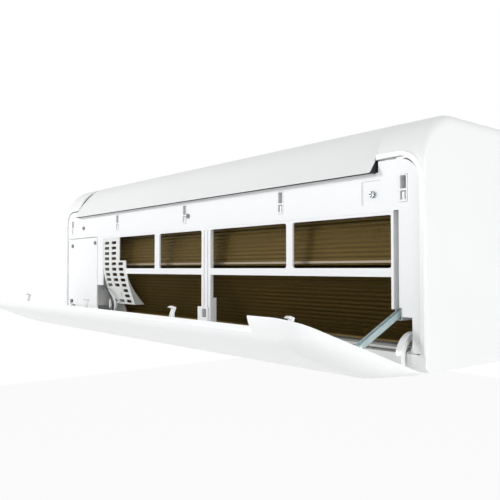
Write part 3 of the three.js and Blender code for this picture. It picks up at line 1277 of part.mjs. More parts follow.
// Sensor lead: out of the hole in the frame, round in front of the guard and down to the clip
function sensorLead() {
  const route = [
    [822, 34, 74], [822, 22, 74], [818, 12, 76], [801, 8, 78], [788, 9, 66],
    [780, 11, 54], [783, 13, 41], [789, 14, 32], [796, 16, 30], [801, 18.5, 35], [802, 22.6, 38],
  ];
  const points = route.map(([away, b, z]) => new THREE.Vector3(fromRight(away), b, z));
  return tube(new THREE.CatmullRomCurve3(points, false, 'centripetal'), LEAD_RADIUS, LEAD_STEPS);
}

// Colours and finishes
const plasticWhite = { color: '#f2f3f2', roughness: 0.42 };
const panelWhite = { color: '#f7f8f7', roughness: 0.22 };
const frameWhite = { color: '#eceeed', roughness: 0.45 };
const chassisWhite = { color: '#e6e7e5', roughness: 0.6 };
const finGold = { color: '#8a6a2c', roughness: 0.5, metalness: 0.6 };
const copper = { color: '#b8734a', roughness: 0.35, metalness: 0.9 };
const zinc = { color: '#b4b8bb', roughness: 0.4, metalness: 0.85 };
const brass = { color: '#b79a55', roughness: 0.35, metalness: 0.9 };
const darkPlastic = { color: '#34383b', roughness: 0.5 };
const boardGreen = { color: '#2e6b46', roughness: 0.5 };
const greyRubber = { color: '#8d9193', roughness: 0.7 };
const clearAqua = { color: '#bfe3de', roughness: 0.2, transparent: true, opacity: 0.7 };
const finish = (values) => new THREE.MeshStandardMaterial(values);

const unit = new THREE.Group();
unit.position.set(0, -BODY_DEPTH, -HEIGHT / 2);

function addTo(group, name, values, solid) {
  const mesh = new THREE.Mesh(geometryOf(solid), finish(values));
  mesh.name = name;
  group.add(mesh);
  return mesh;
}
const add = (name, values, solid) => addTo(unit, name, values, solid);

// Fixed pieces, from the wall outwards
add('wall_plate', zinc, wallPlate());
add('rear_chassis', chassisWhite, rearChassis());
add('front_cabinet', plasticWhite, frontCabinet());
add('top_cover', plasticWhite, topCover());
add('top_grille', plasticWhite, topGrille());
add('window_frame', frameWhite, windowFrame());
add('drain_pan', chassisWhite, drainPan());
add('coil_lower', finGold, coilSlab(COIL_LOWER));
add('coil_upper', finGold, coilSlab(COIL_UPPER));
add('coil_rear', finGold, coilSlab(COIL_REAR));
add('coil_end_right', copper, coilEnd(1));
add('coil_end_left', copper, coilEnd(-1));
add('suction_pipe', copper, pipe(SUCTION_RADIUS, SUCTION_ABOVE, PIPE_END));
add('liquid_pipe', brass, pipe(LIQUID_RADIUS, LIQUID_ABOVE, PIPE_END - PIPE_STAGGER));
add('fan_motor', zinc, fanMotor());
add('motor_bracket', chassisWhite, motorBracket());
add('fan_bearing', darkPlastic, fanBearing());
add('control_box', chassisWhite, controlBox());
add('control_cover', frameWhite, controlCover());
add('main_board', boardGreen, mainBoard());
add('terminal_block', darkPlastic, terminalBlock());
add('coil_guard', frameWhite, coilGuard());
add('sensor_clip', greyRubber, sensorClip());
add('sensor_lead', greyRubber, sensorLead());
add('filter_clip', frameWhite, filterClip());
add('stay_channel', frameWhite, stayChannel());
CATCHES_FROM_RIGHT.forEach((distance, i) => {
  add(`panel_catch_${i + 1}`, frameWhite, panelCatch(distance));
});
SCREWS_FROM_RIGHT.forEach((distance, i) => {
  const seat = i === 0 ? FRAME_FRONT + SCREW_RECESS_DEPTH : FRAME_FRONT;
  add(`band_screw_${i + 1}`, zinc, panScrew(fromRight(distance), SCREW_ABOVE, seat - GAP));
});
coverScrewPlaces().forEach(([x, z], i) => {
  add(`cover_screw_${i + 1}`, zinc, panScrew(x, z, FRAME_FRONT - GAP));
});
add('hinge_pin_right', zinc, hingePin(1));
add('hinge_pin_left', zinc, hingePin(-1));
const louverMotorEnd = ductLeft - BULKHEAD - GAP;
const louverBearingEnd = ductRight + BULKHEAD + GAP;
add('louver_motor', darkPlastic, louverMount(louverMotorEnd - LOUVER_MOTOR_LENGTH, louverMotorEnd, 1));
add('louver_bearing', darkPlastic, louverMount(louverBearingEnd, louverBearingEnd + LOUVER_BEARING_LENGTH, -1));

// Front panel and its arms, drawn closed and turned open together
const opened = new THREE.Group();
opened.position.set(0, HINGE_BEHIND, HINGE_ABOVE);
opened.rotation.x = radians(PANEL_OPEN_DEGREES);
const panelFrame = new THREE.Group();
panelFrame.position.set(0, -HINGE_BEHIND, -HINGE_ABOVE);
opened.add(panelFrame);
unit.add(opened);
addTo(panelFrame, 'front_panel', panelWhite, frontPanel());
addTo(panelFrame, 'panel_arm_right', panelWhite, panelArm(1));
addTo(panelFrame, 'panel_arm_left', panelWhite, panelArm(-1));

// Stay arm, from its pin on the open panel to its slider in the channel
const stay = addTo(unit, 'stay_arm', clearAqua, stayArm());
stay.position.set(fromRight(STAY_FROM_RIGHT), STAY_PIVOT_BEHIND, STAY_PIVOT_ABOVE);
stay.rotation.x = -Math.atan2(
  STAY_SLIDER_BEHIND - STAY_PIVOT_BEHIND, STAY_SLIDER_ABOVE - STAY_PIVOT_ABOVE,
);

// Fan wheel, louver and vanes
add('blower_wheel', darkPlastic, blowerWheel());
add('louver', panelWhite, louver());
for (let group = 0; group < VANE_GROUPS; group += 1) {
  vanePlaces(group).forEach((x, i) => {
    add(`vane_${group * VANES_PER_GROUP + i + 1}`, darkPlastic, vane(x));
  });
  add(`vane_link_${group + 1}`, darkPlastic, vaneLink(group));
}

export default unit;
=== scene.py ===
"""Finish and fine detail of a wall-mounted split air conditioner with its front panel open."""
import json
import math

import bmesh
import bpy
from mathutils import Matrix, Vector


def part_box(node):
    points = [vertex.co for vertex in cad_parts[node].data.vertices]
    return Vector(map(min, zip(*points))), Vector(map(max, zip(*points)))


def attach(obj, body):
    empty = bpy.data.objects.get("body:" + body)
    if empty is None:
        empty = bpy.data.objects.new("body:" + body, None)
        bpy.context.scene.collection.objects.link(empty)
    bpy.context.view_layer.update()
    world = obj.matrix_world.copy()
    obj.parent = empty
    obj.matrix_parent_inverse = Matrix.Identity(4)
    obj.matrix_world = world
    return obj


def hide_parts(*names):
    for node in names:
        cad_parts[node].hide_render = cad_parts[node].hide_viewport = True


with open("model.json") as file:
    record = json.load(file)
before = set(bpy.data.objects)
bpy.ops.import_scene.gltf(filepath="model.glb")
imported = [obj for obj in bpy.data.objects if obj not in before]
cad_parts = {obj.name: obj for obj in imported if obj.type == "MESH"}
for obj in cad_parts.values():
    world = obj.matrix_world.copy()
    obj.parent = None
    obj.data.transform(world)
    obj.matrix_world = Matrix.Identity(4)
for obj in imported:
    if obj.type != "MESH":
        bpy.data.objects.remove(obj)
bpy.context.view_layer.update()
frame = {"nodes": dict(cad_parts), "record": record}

bl_info = {
    "name": "Wall-mounted split air conditioner",
    "version": (1, 0, 0),
    "blender": (4, 5, 0),
    "location": "3D View > Sidebar > Air conditioner",
    "description": "Dresses the frame of an open indoor unit with its finished pieces",
    "category": "Object",
}

MM = 0.001
CABINET_LOW, CABINET_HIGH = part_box("front_cabinet")
HALF_LENGTH = CABINET_HIGH.x / MM
HEIGHT = (CABINET_HIGH.z - CABINET_LOW.z) / MM


def place(x, b, z):
    """Point x mm across from the middle, b mm behind the front rim, z mm above the underside."""
    return Vector((x * MM, CABINET_LOW.y + b * MM, CABINET_LOW.z + z * MM))


def linear(code):
    """Linear colour of an sRGB hex value."""
    parts = [int(code[i:i + 2], 16) / 255 for i in (1, 3, 5)]
    return tuple(p / 12.92 if p <= 0.04045 else ((p + 0.055) / 1.055) ** 2.4 for p in parts)


def measured(point):
    """The x, b and z in mm of a point, as place takes them."""
    return point.x / MM, (point.y - CABINET_LOW.y) / MM, (point.z - CABINET_LOW.z) / MM


def from_right(distance):
    """Place across the unit of a point some mm in from its right end."""
    return HALF_LENGTH - distance


def across(near, far):
    """Places across the unit, left one first, of two distances from its right end."""
    return from_right(far), from_right(near)


def per_metre(size_mm):
    """Texture scale that gives one feature for each real size in millimetres."""
    return 1 / (size_mm * MM)


class AirconColours(bpy.types.PropertyGroup):
    """Colours of the visible plastics and metals."""

    shell: bpy.props.FloatVectorProperty(
        name="Shell", description="Satin ABS of the cabinet, top cover and intake grille",
        subtype="COLOR", size=3, min=0, max=1, default=linear("#f1f2f1"))
    panel: bpy.props.FloatVectorProperty(
        name="Panel", description="Glossy ABS of the front panel, its arms and the louver",
        subtype="COLOR", size=3, min=0, max=1, default=linear("#f5f6f6"))
    lattice: bpy.props.FloatVectorProperty(
        name="Lattice", description="Spark-textured ABS of the window frame and the pieces on it",
        subtype="COLOR", size=3, min=0, max=1, default=linear("#f2f3f4"))
    chassis: bpy.props.FloatVectorProperty(
        name="Chassis", description="Matt polystyrene of the chassis, pan and control box",
        subtype="COLOR", size=3, min=0, max=1, default=linear("#e3e4e2"))
    fin: bpy.props.FloatVectorProperty(
        name="Fin coat", description="Gold corrosion coat on the aluminium fins",
        subtype="COLOR", size=3, min=0, max=1, default=linear("#7d672f"))
    stay: bpy.props.FloatVectorProperty(
        name="Stay", description="Clear aqua moulding of the stay arm",
        subtype="COLOR", size=3, min=0, max=1, default=linear("#dbecee"))


class AirconSizes(bpy.types.PropertyGroup):
    """Sizes of the finish that the frame leaves open."""

    edge_round: bpy.props.FloatProperty(
        name="Edge rounding", description="Radius on the edges of the larger mouldings",
        unit="LENGTH", min=0, max=0.003, default=0.8 * MM)
    small_edge_round: bpy.props.FloatProperty(
        name="Small edge rounding", description="Radius on the edges of clips, arms and vanes",
        unit="LENGTH", min=0, max=0.002, default=0.35 * MM)
    fin_pitch: bpy.props.FloatProperty(
        name="Fin pitch", description="Distance from one coil fin to the next",
        unit="LENGTH", min=0.001, max=0.01, default=1.9 * MM)
    fin_thickness: bpy.props.FloatProperty(
        name="Fin thickness", description="Drawn thickness of a fin, thicker than foil so that it shows",
        unit="LENGTH", min=0.0001, max=0.0015, default=0.95 * MM)


class AirconStage(bpy.types.PropertyGroup):
    """Camera, floor and lamps."""

    camera_place: bpy.props.FloatVectorProperty(
        name="Camera place", description="Where the camera stands",
        subtype="TRANSLATION", size=3, default=(0.9118, -0.7785, -0.034))
    camera_heading: bpy.props.FloatProperty(
        name="Camera heading", description="Turn of the view from straight at the wall, to the left",
        subtype="ANGLE", default=math.radians(50.6))
    camera_pitch: bpy.props.FloatProperty(
        name="Camera pitch", description="How far the camera looks up",
        subtype="ANGLE", default=math.radians(1.73))
    lens: bpy.props.FloatProperty(
        name="Lens", description="Focal length in millimetres on a 36 mm sensor", default=44.5)
    floor_drop: bpy.props.FloatProperty(
        name="Floor", description="Height of the unit's middle above the floor",
        unit="LENGTH", min=0.3, max=3, default=1.3)


def put(tree, kind, values=None, links=None, **settings):
    """Adds one node with its settings, socket values and incoming links."""
    made = tree.nodes.new(kind)
    for name, value in settings.items():
        setattr(made, name, value)
    for socket, value in (values or {}).items():
        made.inputs[socket].default_value = value
    for socket, source in (links or {}).items():
        tree.links.new(source, made.inputs[socket])
    return made


# Size in mm of the patches of tone, and strength of the grain
TONE_PATCH = 90
GRAIN_STRENGTH = 0.6


def surface(name, colour, roughness, grain_mm, relief_mm, cloud=0.03, **sockets):
    """A moulded or metal finish: faint clouding of tone and gloss over a fine grain."""
    known = bpy.data.materials.get(name)
    if known:
        return known
    made = bpy.data.materials.new(name)
    made.use_nodes = True
    tree = made.node_tree
    tree.nodes.clear()
    spot = put(tree, "ShaderNodeTexCoord").outputs["Object"]
    patch = put(tree, "ShaderNodeTexNoise", {"Scale": per_metre(TONE_PATCH), "Detail": 3.0},
                {"Vector": spot})
    grain = put(tree, "ShaderNodeTexNoise", {"Scale": per_metre(grain_mm), "Detail": 4.0},
                {"Vector": spot})
    tone = put(tree, "ShaderNodeMapRange", {"To Min": 1 - cloud, "To Max": 1.0},
               {"Value": patch.outputs["Fac"]})
    paint = put(tree, "ShaderNodeMix", {"Factor": 1.0, "A": (*colour, 1)}, {"B": tone.outputs["Result"]},
                data_type="RGBA", blend_type="MULTIPLY")
    gloss = put(tree, "ShaderNodeMapRange", {"To Min": roughness - cloud, "To Max": roughness + cloud},
                {"Value": patch.outputs["Fac"]})
    bump = put(tree, "ShaderNodeBump", {"Strength": GRAIN_STRENGTH, "Distance": relief_mm * MM},
               {"Height": grain.outputs["Fac"]})
    shader = put(tree, "ShaderNodeBsdfPrincipled", sockets, {
        "Base Color": paint.outputs["Result"], "Roughness": gloss.outputs["Result"],
        "Normal": bump.outputs["Normal"]})
    put(tree, "ShaderNodeOutputMaterial", None, {"Surface": shader.outputs["BSDF"]})
    return made


def colours():
    """The colours that the user can change."""
    return bpy.context.scene.aircon_colours


def satin_moulded_abs():
    """ABS from a fine-blasted mould: soft wide highlights, hardly any grain."""
    return surface("satin_moulded_abs", colours().shell, 0.36, 0.9, 0.02, IOR=1.53)


def polished_moulded_abs():
    """ABS from a polished mould: clear sheen that follows the crown of the panel."""
    return surface("polished_moulded_abs", colours().panel, 0.2, 6.0, 0.01, cloud=0.02, IOR=1.53)


def spark_textured_abs():
    """ABS from a spark-eroded mould: matt skin with a fine even grain, drawn coarse enough to show."""
    return surface("spark_textured_abs", colours().lattice, 0.48, 0.7, 0.05, cloud=0.02, IOR=1.53)


def matt_moulded_polystyrene():
    """High-impact polystyrene: dull, slightly grey, with flow marks."""
    return surface("matt_moulded_polystyrene", colours().chassis, 0.6, 1.2, 0.06, cloud=0.05, IOR=1.59)


# Pitch in mm of the ripples in a fin, and the repeat of a wave texture of scale 1
FIN_RIPPLE = 6.3
WAVE_REPEAT = math.pi / 10
# Share of the fin colour left in the darkest part of each ripple's painted shade
RIPPLE_SHADE = 0.62


def gold_coated_aluminium():
    """Stamped aluminium foil under a gold epoxy coat: warm metal, with painted shade darkening it in a band
    at each pressed ripple.
    """
    known = bpy.data.materials.get("gold_coated_aluminium")
    if known:
        return known
    made = surface("gold_coated_aluminium", colours().fin, 0.42, 2.0, 0.05, cloud=0.12, Metallic=0.45)
    tree = made.node_tree
    paint = next(node for node in tree.nodes if node.type == "MIX")
    shader = next(node for node in tree.nodes if node.type == "BSDF_PRINCIPLED")
    spot = next(node for node in tree.nodes if node.type == "TEX_COORD").outputs["Object"]
    ripple = put(tree, "ShaderNodeTexWave",
                 {"Scale": WAVE_REPEAT * per_metre(FIN_RIPPLE), "Distortion": 0.0},
                 {"Vector": spot}, bands_direction="Z")
    # Painted shade: the colour darkens in bands up the slab, one to each ripple, standing in for the shade in
    # the pressed ripples
    depth = put(tree, "ShaderNodeMapRange",
                {"From Min": 0.0, "From Max": 0.5, "To Min": RIPPLE_SHADE, "To Max": 1.0},
                {"Value": ripple.outputs["Fac"]})
    ripple_shaded = put(tree, "ShaderNodeMix", {"Factor": 1.0},
                {"A": paint.outputs["Result"], "B": depth.outputs["Result"]},
                data_type="RGBA", blend_type="MULTIPLY")
    tree.links.new(ripple_shaded.outputs["Result"], shader.inputs["Base Color"])
    return made


def bare_rolled_aluminium():
    """Rolled aluminium where the coat stops: dull buff-grey metal."""
    return surface("bare_rolled_aluminium", linear("#9c8f7c"), 0.5, 2.0, 0.03, cloud=0.15, Metallic=0.3)


def drawn_copper():
    """Drawn copper tube: reddish metal with a thin brown bloom."""
    return surface("drawn_copper", linear("#b0704a"), 0.34, 3.0, 0.03, cloud=0.12, Metallic=0.95)


def zinc_coated_steel():
    """Hot-dipped sheet steel: grey metal with faint spangle."""
    return surface("zinc_coated_steel", linear("#b3b7ba"), 0.38, 7.0, 0.03, cloud=0.1, Metallic=0.9)


def bright_zinc_plate():
    """Rolled screw in bright zinc: cool metal with sharp glints."""
    return surface("bright_zinc_plate", linear("#83878a"), 0.34, 1.0, 0.02, cloud=0.06, Metallic=0.85)


def moulded_nitrile_rubber():
    """Nitrile rubber: deep black with a powdery bloom."""
    return surface("moulded_nitrile_rubber", linear("#26282a"), 0.78, 1.0, 0.05, cloud=0.08)


def glass_filled_styrene():
    """Dark glass-filled plastic: matt charcoal with a woolly grain."""
    return surface("glass_filled_styrene", linear("#3b3f42"), 0.55, 0.8, 0.05, cloud=0.06)


def grey_pvc():
    """Extruded or moulded grey PVC: soft dull sheen."""
    return surface("grey_pvc", linear("#7b7e80"), 0.5, 1.5, 0.03, cloud=0.05, IOR=1.54)


def extruded_soft_pvc():
    """Extruded soft PVC of the sensor lead: dark grey with a dull sheen along the tube."""
    return surface("extruded_soft_pvc", linear("#4c4f51"), 0.5, 1.5, 0.03, cloud=0.05, IOR=1.54)


def green_solder_mask():
    """Screened solder mask: glossy green lacquer over copper."""
    return surface("green_solder_mask", linear("#2d6b45"), 0.3, 4.0, 0.02, cloud=0.1, IOR=1.55)


def clear_aqua_polycarbonate():
    """Tinted clear polycarbonate: pale aqua, see-through, with dark edges where it is thick."""
    return surface("clear_aqua_polycarbonate", colours().stay, 0.12, 3.0, 0.01, cloud=0.02,
                   IOR=1.585, **{"Transmission Weight": 0.55})


FINISHES = {
    "shell_plastic": satin_moulded_abs,
    "panel_plastic": polished_moulded_abs,
    "frame_plastic": spark_textured_abs,
    "chassis_plastic": matt_moulded_polystyrene,
    "fin_aluminium": gold_coated_aluminium,
    "copper_tube": drawn_copper,
    "zinc_steel": zinc_coated_steel,
    "screw_zinc": bright_zinc_plate,
    "black_rubber": moulded_nitrile_rubber,
    "black_plastic": glass_filled_styrene,
    "grey_plastic": grey_pvc,
    "circuit_board": green_solder_mask,
    "stay_plastic": clear_aqua_polycarbonate,
}
SLOT_OF = {p["node"]: p["material_slot"] for p in frame["record"]["subparts"]}
BODY_OF = {node: body for body, nodes in frame["record"]["behaviour"]["bodies"].items() for node in nodes}
SIDES = (("left", -1), ("right", 1))
WELD = 0.002 * MM
SHARP_ANGLE = math.radians(32)


def add_piece(name, mesh, slot, body="housing", replaced=(), finish=None):
    """Links a finished mesh as a piece, in its slot's finish or its own, riding on its body."""
    piece = bpy.data.objects.new(name, mesh)
    bpy.context.scene.collection.objects.link(piece)
    mesh.materials.clear()
    mesh.materials.append((finish or FINISHES[slot])())
    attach(piece, body)
    if replaced:
        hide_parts(*replaced)
    return piece


def mesh_of(name, points, faces):
    """Mesh of points and faces with all its faces turned outwards."""
    mesh = bpy.data.meshes.new(name)
    mesh.from_pydata([tuple(point) for point in points], [], faces)
    shape = bmesh.new()
    shape.from_mesh(mesh)
    bmesh.ops.recalc_face_normals(shape, faces=shape.faces)
    shape.to_mesh(mesh)
    shape.free()
    return mesh


def loft(name, rings):
    """Closed body through rings of equal point count."""
    count = len(rings[0])
    last = (len(rings) - 1) * count
    faces = [(row + i, row + (i + 1) % count, row + count + (i + 1) % count, row + count + i)
             for row in range(0, last, count) for i in range(count)]
    faces += [tuple(range(count)), tuple(range(last, last + count))]
    return mesh_of(name, [point for ring in rings for point in ring], faces)


def sweep(name, outline, x0, x1):
    """A [b, z] outline swept across the unit."""
    return loft(name, [[place(x, b, z) for b, z in outline] for x in (x0, x1)])


def block(name, x0, x1, b0, b1, z0, z1):
    """Square-edged bar between two places in each direction."""
    return sweep(name, [(b0, z0), (b1, z0), (b1, z1), (b0, z1)], x0, x1)


def box_outline(x0, x1, z0, z1):
    """Corners of an upright rectangle, seen from the front."""
    return [(x0, z0), (x1, z0), (x1, z1), (x0, z1)]


def circle(b, z, radius, sides):
    """Section of a round bar."""
    return [(b + radius * math.cos(t), z + radius * math.sin(t))
            for t in (2 * math.pi * k / sides for k in range(sides))]


def corner_arc(right, top, radius, steps):
    """Quarter circle into an upper right corner, from its side to its top."""
    turns = [math.pi / 2 * k / steps for k in range(steps + 1)]
    return [(right - radius + radius * math.cos(t), top - radius + radius * math.sin(t)) for t in turns]


CORNER_STEPS = 4


def rounded(outline, radius):
    """Outline with its corners turned into arcs."""
    result = []
    for i, corner in enumerate(outline):
        before = Vector(outline[i - 1]) - Vector(corner)
        after = Vector(outline[(i + 1) % len(outline)]) - Vector(corner)
        reach = min(radius, before.length / 2, after.length / 2)
        start = Vector(corner) + before.normalized() * reach
        end = Vector(corner) + after.normalized() * reach
        for k in range(CORNER_STEPS + 1):
            share = k / CORNER_STEPS
            first = start.lerp(Vector(corner), share)
            second = Vector(corner).lerp(end, share)
            result.append(tuple(first.lerp(second, share)))
    return result


def moulding(outlines, front, depth):
    """Flat plate from outlines in x and z: the first is its edge, the others are holes."""
    curve = bpy.data.curves.new("outline", "CURVE")
    curve.dimensions = "2D"
    curve.fill_mode = "BOTH"
    curve.extrude = depth / 2
    for outline in outlines:
        line = curve.splines.new("POLY")
        line.points.add(len(outline) - 1)
        for point, (x, z) in zip(line.points, outline):
            point.co = (x, z, 0, 1)
        line.use_cyclic_u = True
    holder = bpy.data.objects.new("outline", curve)
    bpy.context.scene.collection.objects.link(holder)
    flat = bpy.data.meshes.new_from_object(holder.evaluated_get(bpy.context.evaluated_depsgraph_get()))
    bpy.data.objects.remove(holder)
    points = [place(v.co.x, front + depth / 2 - v.co.z, v.co.y) for v in flat.vertices]
    return welded(mesh_of("plate", points, [tuple(face.vertices) for face in flat.polygons]))


def welded(*meshes):
    """One mesh of several, with points in the same place made one."""
    shape = bmesh.new()
    for mesh in meshes:
        shape.from_mesh(mesh)
    bmesh.ops.remove_doubles(shape, verts=shape.verts, dist=WELD)
    bmesh.ops.recalc_face_normals(shape, faces=shape.faces)
    result = bpy.data.meshes.new("joined")
    shape.to_mesh(result)
    shape.free()
    return result


def worked(base, tools, operation="DIFFERENCE"):
    """Mesh left when tools are cut from a mesh, or joined to it."""
    holder = bpy.data.objects.new("workpiece", base)
    made = [holder]
    for tool in tools:
        step = holder.modifiers.new("step", "BOOLEAN")
        step.operation = operation
        step.solver = "EXACT"
        step.object = bpy.data.objects.new("tool", tool)
        made.append(step.object)
    for item in made:
        bpy.context.scene.collection.objects.link(item)
    result = bpy.data.meshes.new_from_object(holder.evaluated_get(bpy.context.evaluated_depsgraph_get()))
    for item in made:
        bpy.data.objects.remove(item)
    return result


def smooth_line(points, steps):
    """Catmull-Rom line through points of two or three numbers."""
    ends = [Vector(point) for point in points]
    ends = [2 * ends[0] - ends[1], *ends, 2 * ends[-1] - ends[-2]]
    result = []
    for a, b, c, d in zip(ends, ends[1:], ends[2:], ends[3:]):
        for k in range(steps):
            t = k / steps
            result.append(b + (c - a) * (t / 2) + (2 * a - 5 * b + 4 * c - d) * (t * t / 2)
                          + (3 * b - a - 3 * c + d) * (t ** 3 / 2))
    return [*result, ends[-2]]


def soften(piece, width):
    """Rounds the sharp edges of a piece and keeps its flat faces flat."""
    piece.data.shade_smooth()
    piece.data.set_sharp_from_angle(angle=SHARP_ANGLE)
    bevel = piece.modifiers.new("edge", "BEVEL")
    bevel.width = width
    bevel.segments = 2
    bevel.limit_method = "ANGLE"
    bevel.angle_limit = SHARP_ANGLE
    bevel.harden_normals = True
    flat = piece.modifiers.new("flat_faces", "WEIGHTED_NORMAL")
    flat.keep_sharp = True


def dress(node, width, finish=None):
    """Finer copy of a frame node, with clean faces and rounded edges."""
    name = f"{node}_moulded"
    source = bmesh.new()
    source.from_mesh(frame["nodes"][node].data)
    bmesh.ops.remove_doubles(source, verts=source.verts, dist=WELD)
    mesh = bpy.data.meshes.new(name)
    source.to_mesh(mesh)
    source.free()
    soften(add_piece(name, mesh, SLOT_OF[node], BODY_OF[node], (node,), finish), width)


def dress_all(nodes, width):
    """Finer copies of several frame nodes."""
    for node in nodes:
        dress(node, width)


def numbered(stem, count):
    """Names of like nodes, counted from 1."""
    return [f"{stem}_{i + 1}" for i in range(count)]


def aim(obj, spot, target):
    """Stands a lamp or camera at a spot, looking at a target."""
    obj.location = spot
    obj.rotation_euler = (Vector(target) - Vector(spot)).to_track_quat("-Z", "Y").to_euler()


def seen_rays(tree):
    """1 for camera, mirror and see-through rays, which meet the white background."""
    path = put(tree, "ShaderNodeLightPath")
    sharp = put(tree, "ShaderNodeMath", None,
                {0: path.outputs["Is Camera Ray"], 1: path.outputs["Is Glossy Ray"]}, operation="MAXIMUM")
    return put(tree, "ShaderNodeMath", None, {0: sharp.outputs[0], 1: path.outputs["Is Transmission Ray"]},
               operation="MAXIMUM").outputs[0]


LAMPS = [
    ("lamp_front", (0.6, -2.6, 0.3), 2.0, 18),
    ("lamp_side", (2.8, -0.2, 0.1), 1.6, 36),
    ("lamp_left", (-1.3, -2.3, 0.6), 0.5, 26),
    ("lamp_low", (-1.5, -1.4, -0.9), 1.2, 6),
]
LAMP_TARGET = (0, -0.1, 0)
SKY_TINT = (0.97, 0.985, 1, 1)
SKY_STRENGTH = 0.38
WHITE = (1, 1, 1, 1)
FLOOR_HALF = 6.0
FLOOR_WHITE_SHARE = 0.93
SENSOR_WIDTH = 36


class AIRCON_OT_stage(bpy.types.Operator):
    """Add the camera, the lamps, the white surroundings and the floor"""

    bl_idname = "aircon.stage"
    bl_label = "Stage"

    def execute(self, context):
        stage = context.scene.aircon_stage
        context.scene.view_settings.view_transform = "Standard"
        camera = bpy.data.objects.new("camera", bpy.data.cameras.new("camera"))
        context.scene.collection.objects.link(camera)
        heading = Vector((-math.sin(stage.camera_heading), math.cos(stage.camera_heading),
                          math.tan(stage.camera_pitch)))
        aim(camera, stage.camera_place, Vector(stage.camera_place) + heading)
        camera.data.lens = stage.lens
        camera.data.sensor_width = SENSOR_WIDTH
        camera.data.clip_start = 0.01
        context.scene.camera = camera
        for name, spot, size, watts in LAMPS:
            data = bpy.data.lights.new(name, "AREA")
            data.size = size
            data.energy = watts
            lamp = bpy.data.objects.new(name, data)
            context.scene.collection.objects.link(lamp)
            aim(lamp, spot, LAMP_TARGET)
        self.surroundings(context)
        self.floor(context, stage.floor_drop)
        return {"FINISHED"}

    def surroundings(self, context):
        """Soft grey light on the unit, before a white background."""
        world = bpy.data.worlds.new("surroundings")
        world.use_nodes = True
        context.scene.world = world
        tree = world.node_tree
        tree.nodes.clear()
        lit = put(tree, "ShaderNodeBackground", {"Color": SKY_TINT, "Strength": SKY_STRENGTH})
        shown = put(tree, "ShaderNodeBackground", {"Color": WHITE, "Strength": 1.0})
        mix = put(tree, "ShaderNodeMixShader", None, {
            0: seen_rays(tree), 1: lit.outputs[0], 2: shown.outputs[0]})
        put(tree, "ShaderNodeOutputWorld", None, {"Surface": mix.outputs[0]})

    def floor(self, context, drop):
        """Pale floor that fades into the background and keeps the unit's shadow."""
        mesh = bpy.data.meshes.new("floor")
        corners = box_outline(-FLOOR_HALF, FLOOR_HALF, -FLOOR_HALF, FLOOR_HALF)
        mesh.from_pydata([(x, y, -drop) for x, y in corners], [], [(0, 1, 2, 3)])
        floor = bpy.data.objects.new("floor", mesh)
        context.scene.collection.objects.link(floor)
        paint = bpy.data.materials.new("pale_painted_floor")
        paint.use_nodes = True
        tree = paint.node_tree
        tree.nodes.clear()
        matt = put(tree, "ShaderNodeBsdfDiffuse", {"Color": (*linear("#f2f2f2"), 1)})
        white = put(tree, "ShaderNodeEmission", {"Color": WHITE, "Strength": 1.0})
        share = put(tree, "ShaderNodeMath", {1: FLOOR_WHITE_SHARE}, {0: seen_rays(tree)},
                    operation="MULTIPLY")
        mix = put(tree, "ShaderNodeMixShader", None, {
            0: share.outputs[0], 1: matt.outputs[0], 2: white.outputs[0]})
        put(tree, "ShaderNodeOutputMaterial", None, {"Surface": mix.outputs[0]})
        mesh.materials.append(paint)


GAP = 0.3
FRAME_FRONT = 2.5
UNDER_COVER_HALF = 432

# Cabinet, top cover and trim, in mm
COVER_WALL = 2.2
COVER_SEAM = 0.8
COVER_STEPS = 12
COVER_ROUNDING = 0.6
# Points that the cover passes: shares of the shoulder's radius, back and up
COVER_PASS_SHARES = ((0.33, 0.64), (0.73, 0.956))
SHOULDER_RADIUS = 68
# Black strips behind the cover's front edge and in its ends, painted shade for the shaded gaps there
SHADE_FILL_TOP = 262
SHADE_FILL_DEPTH = 5
SHADE_FILL_INSET = 0.2
SHADE_FILL_THICKNESS = 1.4
# Depth from and to, height from and to
SHADE_FILL_SECTION = (6.2, 9.5, 231.5, 246)
# Half length, top and corner radius
RIM_INNER = (492, 250, 30)
RIM_OUTER = (498.4, 256.5, 35)
RIM_LAP = 0.6
RIM_LOW = 20.4
RIM_END = 430.6
RIM_FRONT = -0.25
RIM_DEPTH = 4.6
RIM_STEPS = 12
RIM_ROUNDING = 3
# Across from and to, depth from and to, height from and to
FINGER_MARK = (497.5, 500.3, 1.9, 3.3, 190, 219)
FINGER_MARK_ROUNDING = 0.5


